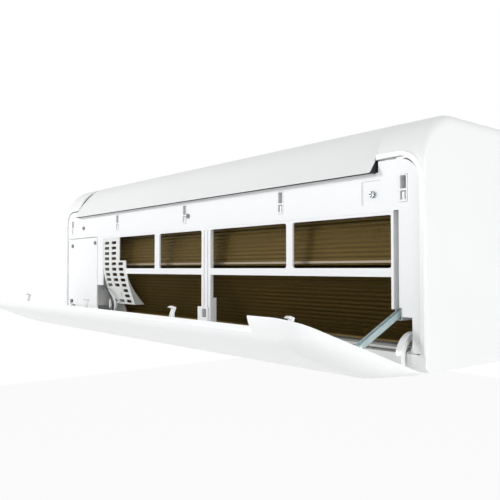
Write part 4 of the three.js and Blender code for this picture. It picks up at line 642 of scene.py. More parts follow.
class AIRCON_OT_cabinet(bpy.types.Operator):
    """Add the cabinet shell, the top cover and the intake grille"""

    bl_idname = "aircon.cabinet"
    bl_label = "Cabinet"

    def execute(self, context):
        sizes = context.scene.aircon_sizes
        dress_all(("front_cabinet", "top_grille"), sizes.edge_round)
        self.cover(sizes.edge_round * COVER_ROUNDING)
        self.rims(sizes.small_edge_round * RIM_ROUNDING)
        self.finger_marks(sizes.small_edge_round * FINGER_MARK_ROUNDING)
        return {"FINISHED"}

    def cover(self, rounding):
        """Thin shell from the recess's edge up over the shoulder."""
        (left, front, edge), (right, rear, _) = (measured(corner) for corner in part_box("top_cover"))
        passes = [(SHOULDER_RADIUS * back, HEIGHT - SHOULDER_RADIUS * (1 - up))
                  for back, up in COVER_PASS_SHARES]
        outer = smooth_line([(front, edge), *passes, (rear, HEIGHT)], COVER_STEPS)
        inner = [outer[0] + Vector((COVER_WALL, GAP))]
        for before, after in zip(outer, outer[1:]):
            along = (after - before).normalized()
            inner.append(after + Vector((along.y, -along.x)) * COVER_WALL)
        outline = [(min(b, rear), z) for b, z in [*outer, *reversed(inner)]]
        left, right = left + COVER_SEAM, right - COVER_SEAM
        cover = sweep("top_cover", outline, left, right)
        soften(add_piece("top_cover_moulded", cover, "shell_plastic", replaced=("top_cover",)), rounding)
        self.paint_gap_shade([point for point in inner if point.y < SHADE_FILL_TOP], left, right, rounding)

    def paint_gap_shade(self, inside, left, right, rounding):
        """Black rubber strips behind the cover's front edge and in its two ends: painted shade for the gaps
        there, which fall in shade.
        """
        # Painted shade: a black strip in the gap under the cover's front edge, which also closes it
        strip = block("gap_shade_fill", -UNDER_COVER_HALF, UNDER_COVER_HALF, *SHADE_FILL_SECTION)
        soften(add_piece("cover_seal_front", strip, "black_rubber"), rounding)
        rear = FRAME_FRONT + SHADE_FILL_DEPTH
        outline = [*inside, (rear, inside[-1].y), (rear, inside[0].y)]
        # Painted shade: black fills in the cover's two ends, where the end gaps fall in shade
        for side, x in (("left", left + SHADE_FILL_INSET), ("right", right - SHADE_FILL_INSET - SHADE_FILL_THICKNESS)):
            add_piece(f"cover_seal_{side}", sweep("gap_shade_fill", outline, x, x + SHADE_FILL_THICKNESS), "black_rubber")

    def rims(self, rounding):
        """Raised flat rim round the ends of the recess, standing on the shoulder's curve."""
        half, top, radius = RIM_INNER
        for (side, sign), lap in zip(SIDES, (RIM_LAP, 0)):
            inner, outer = self.rim_line(half - lap, top, radius), self.rim_line(*RIM_OUTER)
            outline = [(sign * x, z) for x, z in [*inner, *reversed(outer)]]
            rim = moulding([outline], RIM_FRONT, RIM_DEPTH)
            soften(add_piece(f"recess_rim_{side}", rim, "shell_plastic"), rounding)

    def rim_line(self, half, top, radius):
        """One edge of the rim, from its foot round the corner to the cover."""
        return [(half, RIM_LOW), *corner_arc(half, top, radius, RIM_STEPS), (RIM_END, top)]

    def finger_marks(self, rounding):
        """Thin raised line on each side wall, beside the recess."""
        inner, outer, *section = FINGER_MARK
        for side, sign in SIDES:
            mark = block("mark", *sorted((sign * inner, sign * outer)), *section)
            soften(add_piece(f"finger_mark_{side}", mark, "shell_plastic"), rounding)


# Window frame, in mm: edges are distances from the right end, the nearer first, and ranges are heights
FRAME_END_INSET = 8.3
FRAME_HALF = HALF_LENGTH - FRAME_END_INSET
FRAME_WALL = 3
FRAME_LAP = 1
FRAME_CORNER = 30
FRAME_CORNER_STEPS = 8
FRAME_ROUNDING = 1.6
LATTICE_FRONT = 3.5
LATTICE_TUCK_SIDE = 2
LATTICE_TUCK_TOP = 3
BAND_LOW = 186
BAND_HIGH = 248
UNDER_COVER = 234.8
WINDOW_TOP = 182.5
WINDOW_EDGES = (49.5, 221, 234, 418, 443.5, 579.5, 596.5)
WINDOW_CORNER = 4
RAIL_HIGH = 118.7
RAIL_LOW = 108
POST_LOW = 24
POST_DEPTH = 6
POST_EDGES = WINDOW_EDGES[3:5]
GROOVE_SHARES = (0.3, 0.7)
GROOVE_WIDTH = 2
CHEEK_WALL = 2
CHEEK_REAR = 16
CHEEK_TOP = 70
COLUMN_LOW = 61.5
COLUMN_NOTCH_WIDTH = 4
COLUMN_NOTCH_HEIGHT = 10.5
STAY_SLOT = (38.2, 46)
STAY_SLOT_TOP = 187.4
STRIP_LOW = 70
FOOT_EDGES = (20, 26.4)
FOOT_LOW = 21
FOOT_DEPTH = 12
GUARD_END = 709.4
GUARD_EDGE = 812
CONTROL_EDGES = (837, 981)
CONTROL_TOP = 187.5
LEAD_HOLE_TOP = 83
CATCHES = (31.5, 245, 494, 744, 965)
CATCH_HALF = 6
CATCH_RANGE = (196.5, 229)
CATCH_FRONT = 1.7
CATCH_REAR = 12.3
CATCH_WALL = 1.8
CATCH_SLOT = (212, 227.5)
CATCH_TAB = (199, 209.5)
CATCH_TAB_WIDTH_SHARE = 0.45
CATCH_TAB_INSET = 1
CATCH_TAB_DROP = 1.2
# Edges, then heights from and to
SCREW_RECESS = (64, 95, 196, 226)
SCREW_RECESS_CORNER = 2
SCREW_RECESS_DEPTH = 2.2
CLIP_TOP = 55
CLIP_EDGES = (421.7, 450)
CLIP_CORNER = 1.5
CLIP_FRONT = 0.3
CLIP_SLOT_EDGES = (425.7, 437.8)
CLIP_SLOT_RANGE = (37.6, 51.6)
# Across from and to, height from and to
FLANGE = (489, 496, 24, 236)
FLANGE_WALL = 1.5
BELOW_CONTROLS = ((842, 960), (976, 981.5))
BELOW_CONTROLS_TOP = 37.6
BELOW_CONTROLS_SETBACK = 1


class AIRCON_OT_window_frame(bpy.types.Operator):
    """Add the window frame with its catches, screws, clip and stay channel"""

    bl_idname = "aircon.window_frame"
    bl_label = "Window frame"

    def execute(self, context):
        sizes = context.scene.aircon_sizes
        whole = welded(self.band(), self.lattice(), *self.post(), self.recess(), self.foot(),
                       *self.flanges())
        piece = add_piece("window_frame_moulded", whole, "frame_plastic", replaced=("window_frame",))
        soften(piece, sizes.small_edge_round * FRAME_ROUNDING)
        for name, distance in zip(numbered("panel_catch", len(CATCHES)), CATCHES):
            self.catch(name, from_right(distance), sizes.small_edge_round)
        self.clip(sizes.small_edge_round)
        dress_all(("stay_channel", *numbered("band_screw", 3), *numbered("cover_screw", 2)),
                  sizes.small_edge_round)
        return {"FINISHED"}

    def band(self):
        """Upper plate with the column at its right, open for the catches and the screw."""
        window = from_right(WINDOW_EDGES[0])
        slot_left, slot_right = across(*STAY_SLOT)
        notch, notch_top = slot_right + COLUMN_NOTCH_WIDTH, COLUMN_LOW + COLUMN_NOTCH_HEIGHT
        foot = from_right(FOOT_EDGES[0])
        box_left, box_right = across(*CONTROL_EDGES)
        corner = corner_arc(FRAME_HALF, BAND_HIGH, FRAME_CORNER, FRAME_CORNER_STEPS)
        edge = [
            (-FRAME_HALF, BAND_LOW), (box_left, BAND_LOW), (box_left, CONTROL_TOP),
            (box_right, CONTROL_TOP), (box_right, BAND_LOW), (window, BAND_LOW), (window, STRIP_LOW),
            (slot_left, STRIP_LOW), (slot_left, STAY_SLOT_TOP), (slot_right, STAY_SLOT_TOP),
            (slot_right, notch_top), (notch, notch_top), (notch, COLUMN_LOW), (foot, COLUMN_LOW),
            (foot, FOOT_LOW), (FRAME_HALF, FOOT_LOW),
            *corner, (UNDER_COVER_HALF, BAND_HIGH), (UNDER_COVER_HALF, UNDER_COVER),
            (-UNDER_COVER_HALF, UNDER_COVER), (-UNDER_COVER_HALF, BAND_HIGH),
            *[(-x, z) for x, z in reversed(corner)],
        ]
        side = CATCH_HALF + GAP
        low, high = CATCH_RANGE
        holes = [box_outline(*across(t - side, t + side), low - GAP, high + GAP) for t in CATCHES]
        near, far, *heights = SCREW_RECESS
        holes.append(rounded(box_outline(*across(near, far), *heights), SCREW_RECESS_CORNER))
        return moulding([edge, *holes], FRAME_FRONT, FRAME_WALL)

    def recess(self):
        """Sunk floor round the right band screw."""
        near, far, low, high = SCREW_RECESS
        floor = box_outline(*across(near - FRAME_LAP, far + FRAME_LAP), low - FRAME_LAP, high + FRAME_LAP)
        return moulding([floor], FRAME_FRONT + SCREW_RECESS_DEPTH, FRAME_WALL)

    def foot(self):
        """Wall set back beside the hinge arm, below the right column."""
        left, right = across(*FOOT_EDGES)
        wall = box_outline(left, right + FRAME_LAP, FOOT_LOW, COLUMN_LOW + FRAME_LAP)
        return moulding([wall], FOOT_DEPTH, FRAME_WALL)

    def flanges(self):
        """Plates behind the frame: two below the controls, and one behind the rim at each end."""
        rear = FRAME_FRONT + FRAME_WALL
        below = [moulding([box_outline(*across(*edges), FOOT_LOW, BELOW_CONTROLS_TOP)],
                          rear + BELOW_CONTROLS_SETBACK, FLANGE_WALL) for edges in BELOW_CONTROLS]
        inner, outer, *heights = FLANGE
        ends = [moulding([box_outline(*sorted((sign * inner, sign * outer)), *heights)], rear, FLANGE_WALL)
                for _, sign in SIDES]
        return below + ends

    def lattice(self):
        """Lower plate with the windows, set back a little from the band."""
        edges = [from_right(distance) for distance in WINDOW_EDGES]
        right, left = edges[0], edges[-1]
        post_left, post_right = across(*POST_EDGES)
        box_left, box_right = across(*CONTROL_EDGES)
        guard_left, guard_right = across(GUARD_END, GUARD_EDGE)
        tucked_right, tucked_top = right + LATTICE_TUCK_SIDE, BAND_LOW + LATTICE_TUCK_TOP
        edge = [
            (-FRAME_HALF, FOOT_LOW), (box_left, FOOT_LOW), (box_left, CONTROL_TOP),
            (box_right, CONTROL_TOP), (box_right, LEAD_HOLE_TOP), (guard_left, LEAD_HOLE_TOP),
            (guard_left, WINDOW_TOP), (left, WINDOW_TOP), (left, RAIL_HIGH), (guard_right, RAIL_HIGH),
            (guard_right, RAIL_LOW), (post_left, RAIL_LOW), (post_left, POST_LOW),
            (post_right, POST_LOW), (post_right, RAIL_LOW), (tucked_right, RAIL_LOW),
            (tucked_right, tucked_top), (-FRAME_HALF, tucked_top),
        ]
        windows = [rounded(box_outline(near, far, RAIL_HIGH, WINDOW_TOP), WINDOW_CORNER)
                   for far, near in zip(edges[::2], edges[1::2])]
        grooves = [box_outline(x - GROOVE_WIDTH / 2, x + GROOVE_WIDTH / 2, CLIP_TOP, WINDOW_TOP)
                   for x in (post_right + (post_left - post_right) * share for share in GROOVE_SHARES)]
        return moulding([edge, *windows, *grooves, self.clip_slot()], LATTICE_FRONT, FRAME_WALL)

    def post(self):
        """Back of the centre post, and the cheek that stands behind its right side."""
        left, right = across(*POST_EDGES)
        back = moulding([box_outline(left, right, POST_LOW, WINDOW_TOP), self.clip_slot()],
                        LATTICE_FRONT + FRAME_WALL, POST_DEPTH - FRAME_WALL)
        cheek = block("cheek", right - CHEEK_WALL, right, LATTICE_FRONT + POST_DEPTH, CHEEK_REAR,
                      POST_LOW, CHEEK_TOP)
        return back, cheek

    def clip_slot(self):
        """Slot in the clip, which goes on through the post."""
        return box_outline(*across(*CLIP_SLOT_EDGES), *CLIP_SLOT_RANGE)

    def clip(self, rounding):
        """Filter clip on the foot of the centre post."""
        edge = rounded(box_outline(*across(*CLIP_EDGES), POST_LOW, CLIP_TOP), CLIP_CORNER)
        body = moulding([edge, self.clip_slot()], CLIP_FRONT, LATTICE_FRONT - CLIP_FRONT)
        piece = add_piece("filter_clip_moulded", body, SLOT_OF["filter_clip"], replaced=("filter_clip",))
        soften(piece, rounding)

    def catch(self, name, x, rounding):
        """Socket for a latch hook: an open slot over a spring tab."""
        inner = CATCH_HALF - CATCH_WALL
        edge = box_outline(x - CATCH_HALF, x + CATCH_HALF, *CATCH_RANGE)
        holes = [box_outline(x - inner, x + inner, *heights) for heights in (CATCH_SLOT, CATCH_TAB)]
        half = inner * CATCH_TAB_WIDTH_SHARE
        low, high = CATCH_TAB
        tab = block("tab", x - half, x + half, CATCH_FRONT + CATCH_TAB_INSET,
                    CATCH_REAR - CATCH_TAB_INSET, low - CATCH_TAB_INSET, high - CATCH_TAB_DROP)
        body = welded(moulding([edge, *holes], CATCH_FRONT, CATCH_REAR - CATCH_FRONT), tab)
        soften(add_piece(f"{name}_moulded", body, SLOT_OF[name], replaced=(name,)), rounding)


def joint(name):
    """The record's row for a joint."""
    return next(row for row in frame["record"]["behaviour"]["joints"] if row["name"] == name)


HINGE = joint("panel_hinge")
CLOSED_ANGLE = HINGE["range_deg"][0]

# Front panel as it stands closed, in mm
PANEL_STANDOFF = 0.43
PANEL_LOW = 31.2
PANEL_HIGH = 246.2
PANEL_BULGE = 25
PANEL_WALL = 2.5
PANEL_HOLLOW_REAR = 6
PANEL_END_RADIUS = 46
PANEL_END_LEAD = 1
PANEL_END_STEPS = 16
PANEL_MIDDLE = 420
PANEL_MIDDLE_STEPS = 12
PANEL_TOP_CORNER = 30
PANEL_LOW_CORNER = 10
# Shares of the panel's height, and of its bulge there
PANEL_FACE_SHARES = (
    (0, 0.05), (0.02, 0.2), (0.06, 0.37), (0.11, 0.54), (0.17, 0.7), (0.25, 0.9), (0.34, 0.99),
    (0.5, 1), (0.68, 0.94), (0.82, 0.86), (0.89, 0.74), (0.94, 0.48), (0.975, 0.26), (1, 0.05),
)
PANEL_FACE_STEPS = 5
PANEL_FACE_POINTS = 64
NOTCH_HALF = 429.6
NOTCH_LOW = 230.6
NOTCH_FLARE_SLOPE = 0.324
NOTCH_STEPS = 4
SETBACK_DEPTH = 7.1
SETBACK_REAR = 12
SETBACK_MARGIN = 6
HOOK_RANGE = (217, 226)
HOOK_WIDTH = 2.4
HOOK_WALL = 3
HOOK_SHIFT = 1.8
HOOK_REACH = 8
HOOK_FOOT = 18.7
LUG_FOOT = 23.4
LUG_HALF = 1.8
LUG_TALL = 3.5
STAY_PIN_HALF = 3.3
STAY_PIN_RADIUS = 1.6
STAY_PIN_SIDES = 16
TINY = 1e-9


def turned(point, degrees):
    """Point of the panel, turned about its hinge line."""
    pivot = Vector(HINGE["pos_m"])
    return pivot + Matrix.Rotation(math.radians(degrees), 3, "X") @ (point - pivot)


def round_off(distance, radius):
    """Depth of a quarter-round edge at a distance from the end."""
    rest = max(0.0, radius - distance)
    return radius - math.sqrt(radius * radius - rest * rest)


class AIRCON_OT_front_panel(bpy.types.Operator):
    """Add the open front panel, its gooseneck arms, their pins and the stay"""

    bl_idname = "aircon.front_panel"
    bl_label = "Front panel"

    def execute(self, context):
        sizes = context.scene.aircon_sizes
        hollow = self.body("hollow", PANEL_WALL, PANEL_HOLLOW_REAR)
        shell = worked(self.body("outer", 0, 0), [hollow, self.setback()])
        hooks = [self.hook(from_right(t) + sign * HOOK_SHIFT) for t in CATCHES for _, sign in SIDES]
        whole = worked(shell, [*hooks, *self.lug()], "UNION")
        for vertex in whole.vertices:
            vertex.co = turned(vertex.co, -CLOSED_ANGLE)
        panel = add_piece("front_panel_moulded", whole, "panel_plastic", "panel", ("front_panel",))
        soften(panel, sizes.small_edge_round)
        dress_all(("panel_arm_right", "panel_arm_left", "hinge_pin_right", "hinge_pin_left", "stay_arm"),
                  sizes.small_edge_round)
        return {"FINISHED"}

    def stations(self, skin):
        """Places across the panel: close together at its round ends and at the sides of the notch."""
        ends = [(PANEL_END_RADIUS - skin) * (1 - math.cos(math.pi / 2 * k / PANEL_END_STEPS))
                for k in range(PANEL_END_STEPS + 1)]
        left = [-HALF_LENGTH + skin + distance for distance in ends]
        rise = (PANEL_HIGH - NOTCH_LOW) * NOTCH_FLARE_SLOPE
        flare = [-NOTCH_HALF - skin - rise * k / NOTCH_STEPS for k in range(NOTCH_STEPS, -1, -1)]
        middle = [-PANEL_MIDDLE + PANEL_MIDDLE * k / PANEL_MIDDLE_STEPS
                  for k in range(PANEL_MIDDLE_STEPS + 1)]
        half = sorted({*left, *flare, *middle})
        return [*half, *[-x for x in reversed(half) if x < 0]]

    def body(self, name, skin, back):
        """Closed panel's pillow, a skin's thickness within its outer face."""
        face = [tuple(point) for point in smooth_line(PANEL_FACE_SHARES, PANEL_FACE_STEPS)]
        rings = []
        for x in self.stations(skin):
            distance = HALF_LENGTH - skin - abs(x)
            along = min(1, (distance + PANEL_END_LEAD) / PANEL_END_RADIUS)
            bulge = PANEL_BULGE * math.sqrt(1 - (1 - along) ** 2)
            low = PANEL_LOW + skin + round_off(distance, PANEL_LOW_CORNER)
            high = PANEL_HIGH - skin - round_off(distance, PANEL_TOP_CORNER)
            notch = NOTCH_LOW - skin + max(0, abs(x) - NOTCH_HALF - skin) / NOTCH_FLARE_SLOPE
            top = min(high, notch)
            reach = (top - low) / (high - low)
            shares = [*[(up, out) for up, out in face if low + (high - low) * up <= top],
                      (reach, self.depth_at(face, reach))]
            outline = [(low + (high - low) * up, max(bulge * out - skin, GAP)) for up, out in shares]
            ring = [place(x, -PANEL_STANDOFF - depth, z) for z, depth in reversed(self.resampled(outline))]
            rear = -PANEL_STANDOFF + back
            rings.append([*ring, place(x, rear, low), place(x, rear, top)])
        return loft(name, rings)

    def depth_at(self, face, up):
        """Share of the bulge at a share of the panel's height."""
        for (u0, d0), (u1, d1) in zip(face, face[1:]):
            if up <= u1:
                return d0 + (d1 - d0) * (up - u0) / max(u1 - u0, TINY)
        return face[-1][1]

    def resampled(self, line):
        """The same line with a fixed number of points, evenly spread along it."""
        points = [Vector(point) for point in line]
        spans = [0.0]
        for before, after in zip(points, points[1:]):
            spans.append(spans[-1] + (after - before).length)
        result = []
        k = 0
        for i in range(PANEL_FACE_POINTS):
            target = spans[-1] * i / (PANEL_FACE_POINTS - 1)
            while k < len(points) - 2 and spans[k + 1] < target:
                k += 1
            share = (target - spans[k]) / max(spans[k + 1] - spans[k], TINY)
            result.append(tuple(points[k].lerp(points[k + 1], min(share, 1))))
        return result

    def setback(self):
        """Cut that sets the panel's top edge back below the cover."""
        return block("setback", -NOTCH_HALF, NOTCH_HALF, -PANEL_STANDOFF - SETBACK_DEPTH, SETBACK_REAR,
                     NOTCH_LOW - 2 * PANEL_WALL, PANEL_HIGH + SETBACK_MARGIN)

    def hook(self, x):
        """Latch hook that stands up from the panel's inside."""
        low, high = HOOK_RANGE
        nose = HOOK_REACH - HOOK_WALL
        return sweep("hook", [
            (-HOOK_FOOT, low - HOOK_REACH), (0, low), (HOOK_REACH, low), (HOOK_REACH, high - HOOK_WALL),
            (nose, high), (nose, low + HOOK_WALL), (-HOOK_FOOT, low + HOOK_WALL),
        ], x - HOOK_WIDTH / 2, x + HOOK_WIDTH / 2)

    def lug(self):
        """Lug and pin for the stay, placed from their joint and drawn on the closed panel."""
        x, b, z = measured(turned(Vector(joint("stay_pivot")["pos_m"]), CLOSED_ANGLE))
        pin = circle(b, z, STAY_PIN_RADIUS, STAY_PIN_SIDES)
        return [block("lug", x - LUG_HALF, x + LUG_HALF, -LUG_FOOT, b, z - LUG_TALL, z + LUG_TALL),
                sweep("pin", pin, x - STAY_PIN_HALF, x + STAY_PIN_HALF)]


# Coil, guard and sensor lead, in mm: how thick the fins are drawn on each slab, as a share
FIN_SHARES = {"coil_lower": 0.34, "coil_upper": 1, "coil_rear": 1}
FIN_RIPPLE_DEPTH = 0.9
RIPPLED_SIDE = 4 * FIN_RIPPLE
# Depth from and to, height from and to
SEAM = (22.6, 27, 125, 128.6)
FOLD_HALF_DEPTH = 5
FOLD_HALF_HEIGHT = 1.2
GUARD_COLUMNS = (793.3, 762.1, 731.7)
GUARD_UPPER_EDGE = 737
GUARD_STEP = 134.5
GUARD_RANGE = (44.5, 182.3)
GUARD_CORNER = 1.5
GUARD_SLOT_WIDTH = 20
GUARD_SLOT_HEIGHT = 6
GUARD_SLOT_CORNER = 1.2
GUARD_FIRST_ROW = 172
GUARD_ROW_PITCH = 11
# Rows that are open in each column, counted from the top
GUARD_ROWS = ((*range(9), 11), (*range(9), 11), tuple(range(4, 12)))
# Edges, then heights from and to
GUARD_NICK = (753.5, 756.5, 61, 68)
GUARD_FRONT = 3.7
GUARD_WALL = 1.6
GUARD_KNEE = 126
GUARD_LEAN = 22.5
GUARD_CURL = 1.5
GUARD_STRIPS = 26
GUARD_FLANGE_TOP = 100
GUARD_FLANGE_TOP_WIDTH = 1
GUARD_FLANGE_FOOT_WIDTH = 20
GUARD_FLANGE_CURL = 1.6
GUARD_FLANGE_STEPS = 16
LEAD_RADIUS = 2.6
LEAD_SIDES = 16
LEAD_STEPS = 6
LEAD_SHARP_ANGLE = math.radians(60)
# Points listed: from the right end, behind the front rim, above the underside
LEAD_ROUTE = (
    (822, 34, 74), (822, 21, 74), (819, 9, 76), (806, 4.5, 77.5), (791, 6, 68), (783.5, 10.5, 54),
    (783.5, 13.5, 41), (788, 14.5, 32), (796.5, 16.5, 28.8), (802, 18.7, 33), (802.5, 22.6, 38),
)
STEEP_LIMIT = 0.2
TUBE_RADIUS = 3.5
TUBE_SIDES = 12
TUBE_PITCH = 21
# One row on each side of the slab's middle, half a pitch apart along it
TUBE_ROWS = (-1, 1)
CORNER_DIGITS = 2
SIDE_TOLERANCE = 0.01


class AIRCON_OT_coil(bpy.types.Operator):
    """Add the finned coil, its end plates, the guard, the drain pan and the pipes"""

    bl_idname = "aircon.coil"
    bl_label = "Coil"

    def execute(self, context):
        sizes = context.scene.aircon_sizes
        for node, share in FIN_SHARES.items():
            corners = self.corners(node)
            self.fins(node, corners, sizes.fin_pitch, sizes.fin_thickness / MM * share)
            self.tubes(node, corners)
        dress_all(("coil_end_right", "coil_end_left", "suction_pipe", "liquid_pipe", "drain_pan"),
                  sizes.small_edge_round)
        dress("sensor_clip", sizes.small_edge_round, matt_moulded_polystyrene)
        self.seam_and_fold(sizes.small_edge_round)
        self.guard(sizes.small_edge_round)
        self.lead()
        return {"FINISHED"}

    def corners(self, node):
        """The slab's four corners in b and z, in order round it."""
        found = {tuple(round(size, CORNER_DIGITS) for size in measured(vertex.co)[1:])
                 for vertex in frame["nodes"][node].data.vertices}
        middle = sum((Vector(point) for point in found), Vector((0, 0))) / len(found)
        return sorted((Vector(point) for point in found),
                      key=lambda point: math.atan2(point.y - middle.y, point.x - middle.x))

    def fins(self, node, corners, pitch, thin):
        """Rippled plates side by side along the slab."""
        low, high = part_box(node)
        count = int((high.x - low.x) / pitch)
        outline = self.rippled(corners)
        size = len(outline)
        points = []
        faces = []
        for i in range(count + 1):
            x = low.x / MM + i * ((high.x - low.x) / MM - thin) / count
            start = len(points)
            points += [place(side, b, z) for side in (x, x + thin) for b, z in outline]
            faces += [tuple(start + k for k in range(size)), tuple(start + size + k for k in range(size))]
            faces += [(start + k, start + (k + 1) % size, start + size + (k + 1) % size, start + size + k)
                      for k in range(size)]
        name = f"{node}_fins"
        add_piece(name, mesh_of(name, points, faces), "fin_aluminium", replaced=(node,))

    def rippled(self, corners):
        """The slab's section with its long sides rippled as the fins are pressed."""
        points = []
        for before, after in zip(corners, [*corners[1:], corners[0]]):
            side = after - before
            steps = 2 * round(side.length / FIN_RIPPLE) if side.length > RIPPLED_SIDE else 1
            inward = Vector((-side.y, side.x)).normalized() * FIN_RIPPLE_DEPTH
            points += [before.lerp(after, k / steps) + inward * (k % 2) for k in range(steps)]
        return points

    def tubes(self, node, corners):
        """Two staggered rows of tubes through the slab."""
        low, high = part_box(node)
        sides = [(corners[k - 1], corners[k]) for k in range(4)]
        lengths = [(end - start).length for start, end in sides]
        start, end = next(side for side, length in zip(sides, lengths)
                          if length > max(lengths) - SIDE_TOLERANCE)
        along = (end - start).normalized()
        outward = Vector((-along.y, along.x)) * (min(lengths) / 4)
        middle = sum(corners, Vector((0, 0))) / 4
        count = int(max(lengths) / TUBE_PITCH)
        meshes = []
        for row in TUBE_ROWS:
            for k in range(count):
                shift = (k - (count - 1) / 2 + row / 4) * TUBE_PITCH
                at = middle + along * shift + outward * row
                section = circle(at.x, at.y, TUBE_RADIUS, TUBE_SIDES)
                meshes.append(sweep("tube", section, low.x / MM, high.x / MM))
        tubes = welded(*meshes)
        tubes.shade_smooth()
        add_piece(f"{node}_tubes", tubes, "copper_tube")

    def seam_and_fold(self, rounding):
        """Bare strip where the two front slabs meet, and the folded lower edge of the lower one."""
        low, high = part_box("coil_lower")
        ends = (low.x / MM, high.x / MM)
        strip = add_piece("coil_seam", block("seam", *ends, *SEAM), "fin_aluminium",
                          finish=bare_rolled_aluminium)
        soften(strip, rounding)
        front = min(self.corners("coil_lower"), key=lambda point: point.y)
        fold = block("fold", *ends, front.x - FOLD_HALF_DEPTH, front.x + FOLD_HALF_DEPTH,
                     front.y - FOLD_HALF_HEIGHT, front.y + FOLD_HALF_HEIGHT)
        soften(add_piece("coil_fold", fold, "fin_aluminium"), rounding)

    def guard_depth(self, z):
        """Depth of the guard's curved front face at a height."""
        share = max(0, GUARD_KNEE - z) / (GUARD_KNEE - GUARD_RANGE[0])
        return GUARD_FRONT + GUARD_LEAN * share ** GUARD_CURL

    def guard(self, rounding):
        """Perforated plate that curls back at its foot, with a flange on its right edge."""
        right = from_right(GUARD_END + GAP)
        whole = welded(self.guard_plate(right), self.guard_flange(right))
        piece = add_piece("coil_guard_moulded", whole, "chassis_plastic", replaced=("coil_guard",))
        soften(piece, rounding)

    def guard_plate(self, right):
        """The guard's face: cut flat, sliced across and laid on its curve."""
        low, high = GUARD_RANGE
        left, upper = from_right(GUARD_EDGE - GAP), from_right(GUARD_UPPER_EDGE)
        edge = rounded([(left, low), (right, low), (right, GUARD_STEP), (upper, GUARD_STEP),
                        (upper, high), (left, high)], GUARD_CORNER)
        near, far, *heights = GUARD_NICK
        flat = moulding([edge, *self.guard_slots(), box_outline(*across(near, far), *heights)], 0, GUARD_WALL)
        shape = bmesh.new()
        shape.from_mesh(flat)
        for k in range(1, GUARD_STRIPS):
            cut = place(0, 0, low + (GUARD_KNEE - low) * k / GUARD_STRIPS)
            bmesh.ops.bisect_plane(shape, geom=[*shape.verts, *shape.edges, *shape.faces],
                                   plane_co=cut, plane_no=(0, 0, 1))
        for vertex in shape.verts:
            vertex.co.y += self.guard_depth(measured(vertex.co)[2]) * MM
        curved = bpy.data.meshes.new("guard")
        shape.to_mesh(curved)
        shape.free()
        return curved

    def guard_slots(self):
        """Rows of slots in the guard's columns."""
        half = GUARD_SLOT_WIDTH / 2
        slots = []
        for distance, rows in zip(GUARD_COLUMNS, GUARD_ROWS):
            left, right = across(distance - half, distance + half)
            for row in rows:
                low = GUARD_FIRST_ROW - row * GUARD_ROW_PITCH - GUARD_SLOT_HEIGHT / 2
                slots.append(rounded(box_outline(left, right, low, low + GUARD_SLOT_HEIGHT),
                                     GUARD_SLOT_CORNER))
        return slots

    def guard_flange(self, right):
        """Flange that widens towards the guard's foot."""
        left = right - GUARD_WALL
        widening = GUARD_FLANGE_FOOT_WIDTH - GUARD_FLANGE_TOP_WIDTH
        rings = []
        for k in range(GUARD_FLANGE_STEPS + 1):
            share = k / GUARD_FLANGE_STEPS
            z = GUARD_FLANGE_TOP + (GUARD_RANGE[0] - GUARD_FLANGE_TOP) * share
            front = self.guard_depth(z) + GUARD_WALL / 2
            rear = front + GUARD_FLANGE_TOP_WIDTH + widening * share ** GUARD_FLANGE_CURL
            rings.append([place(x, b, z) for x, b in
                          ((left, front), (right, front), (right, rear), (left, rear))])
        return loft("flange", rings)

    def lead(self):
        """Sensor lead, a round tube along its looped route."""
        line = [place(from_right(t), b, z) for t, b, z in smooth_line(LEAD_ROUTE, LEAD_STEPS)]
        rings = []
        side = None
        for before, point, after in zip([line[0], *line], line, [*line[1:], line[-1]]):
            ahead = (after - before).normalized()
            level = self.level_side(ahead)
            side = -level if side is not None and level.dot(side) < 0 else level
            over = side.cross(ahead)
            rings.append([point + (side * u + over * v) * MM
                          for u, v in circle(0, 0, LEAD_RADIUS, LEAD_SIDES)])
        tube = loft("sensor_lead", rings)
        tube.shade_smooth()
        tube.set_sharp_from_angle(angle=LEAD_SHARP_ANGLE)
        add_piece("sensor_lead_jacket", tube, SLOT_OF["sensor_lead"], replaced=("sensor_lead",),
                  finish=extruded_soft_pvc)

    def level_side(self, ahead):
        """Level direction square to the way ahead, or across the unit where the lead stands upright."""
        side = ahead.cross(Vector((0, 0, 1)))
        if side.length < STEEP_LIMIT:
            side = ahead.cross(Vector((0, 1, 0)))
        return side.normalized()


class AIRCON_OT_controls(bpy.types.Operator):
    """Add the control box, its cover, the board and the terminals"""

    bl_idname = "aircon.controls"
    bl_label = "Controls"

    def execute(self, context):
        dress_all(("control_box", "control_cover", "main_board", "terminal_block"),
                  context.scene.aircon_sizes.small_edge_round)
        return {"FINISHED"}


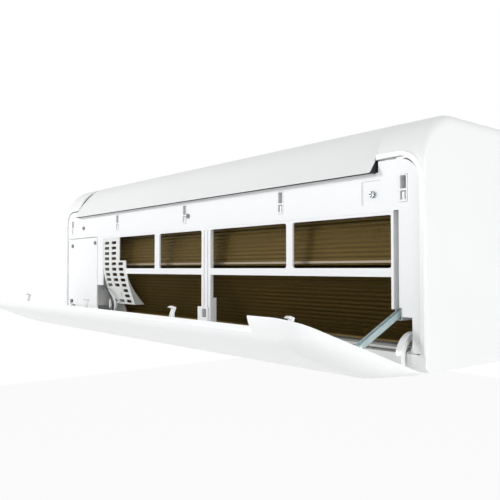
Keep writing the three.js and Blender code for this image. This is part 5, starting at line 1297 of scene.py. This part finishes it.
class AIRCON_OT_fan(bpy.types.Operator):
    """Add the chassis, the wall plate, the fan wheel and its motor"""

    bl_idname = "aircon.fan"
    bl_label = "Fan and chassis"

    def execute(self, context):
        dress_all(("wall_plate", "rear_chassis", "fan_motor", "motor_bracket", "fan_bearing",
                   "blower_wheel"), context.scene.aircon_sizes.small_edge_round)
        return {"FINISHED"}


class AIRCON_OT_outlet(bpy.types.Operator):
    """Add the louver with its mounts and the upright vanes with their links"""

    bl_idname = "aircon.outlet"
    bl_label = "Outlet"

    def execute(self, context):
        dress_all(("louver", "louver_motor", "louver_bearing", *numbered("vane", 8),
                   *numbered("vane_link", 2)), context.scene.aircon_sizes.small_edge_round)
        return {"FINISHED"}


OPERATORS = (
    AIRCON_OT_stage, AIRCON_OT_cabinet, AIRCON_OT_window_frame, AIRCON_OT_front_panel,
    AIRCON_OT_coil, AIRCON_OT_controls, AIRCON_OT_fan, AIRCON_OT_outlet,
)


class AIRCON_PT_pieces(bpy.types.Panel):
    """Buttons for the groups of pieces"""

    bl_label = "Air conditioner"
    bl_space_type = "VIEW_3D"
    bl_region_type = "UI"
    bl_category = "Air conditioner"

    def draw(self, context):
        for operator in OPERATORS:
            self.layout.operator(operator.bl_idname)
        for group in (context.scene.aircon_sizes, context.scene.aircon_colours, context.scene.aircon_stage):
            box = self.layout.box()
            for key in group.__annotations__:
                box.prop(group, key)


CLASSES = (AirconColours, AirconSizes, AirconStage, *OPERATORS, AIRCON_PT_pieces)


def register():
    for kind in CLASSES:
        bpy.utils.register_class(kind)
    bpy.types.Scene.aircon_colours = bpy.props.PointerProperty(type=AirconColours)
    bpy.types.Scene.aircon_sizes = bpy.props.PointerProperty(type=AirconSizes)
    bpy.types.Scene.aircon_stage = bpy.props.PointerProperty(type=AirconStage)


def unregister():
    del bpy.types.Scene.aircon_stage
    del bpy.types.Scene.aircon_sizes
    del bpy.types.Scene.aircon_colours
    for kind in reversed(CLASSES):
        bpy.utils.unregister_class(kind)


def main():
    register()
    for operator in OPERATORS:
        group, action = operator.bl_idname.split(".")
        getattr(getattr(bpy.ops, group), action)()


if __name__ == "__main__":
    main()
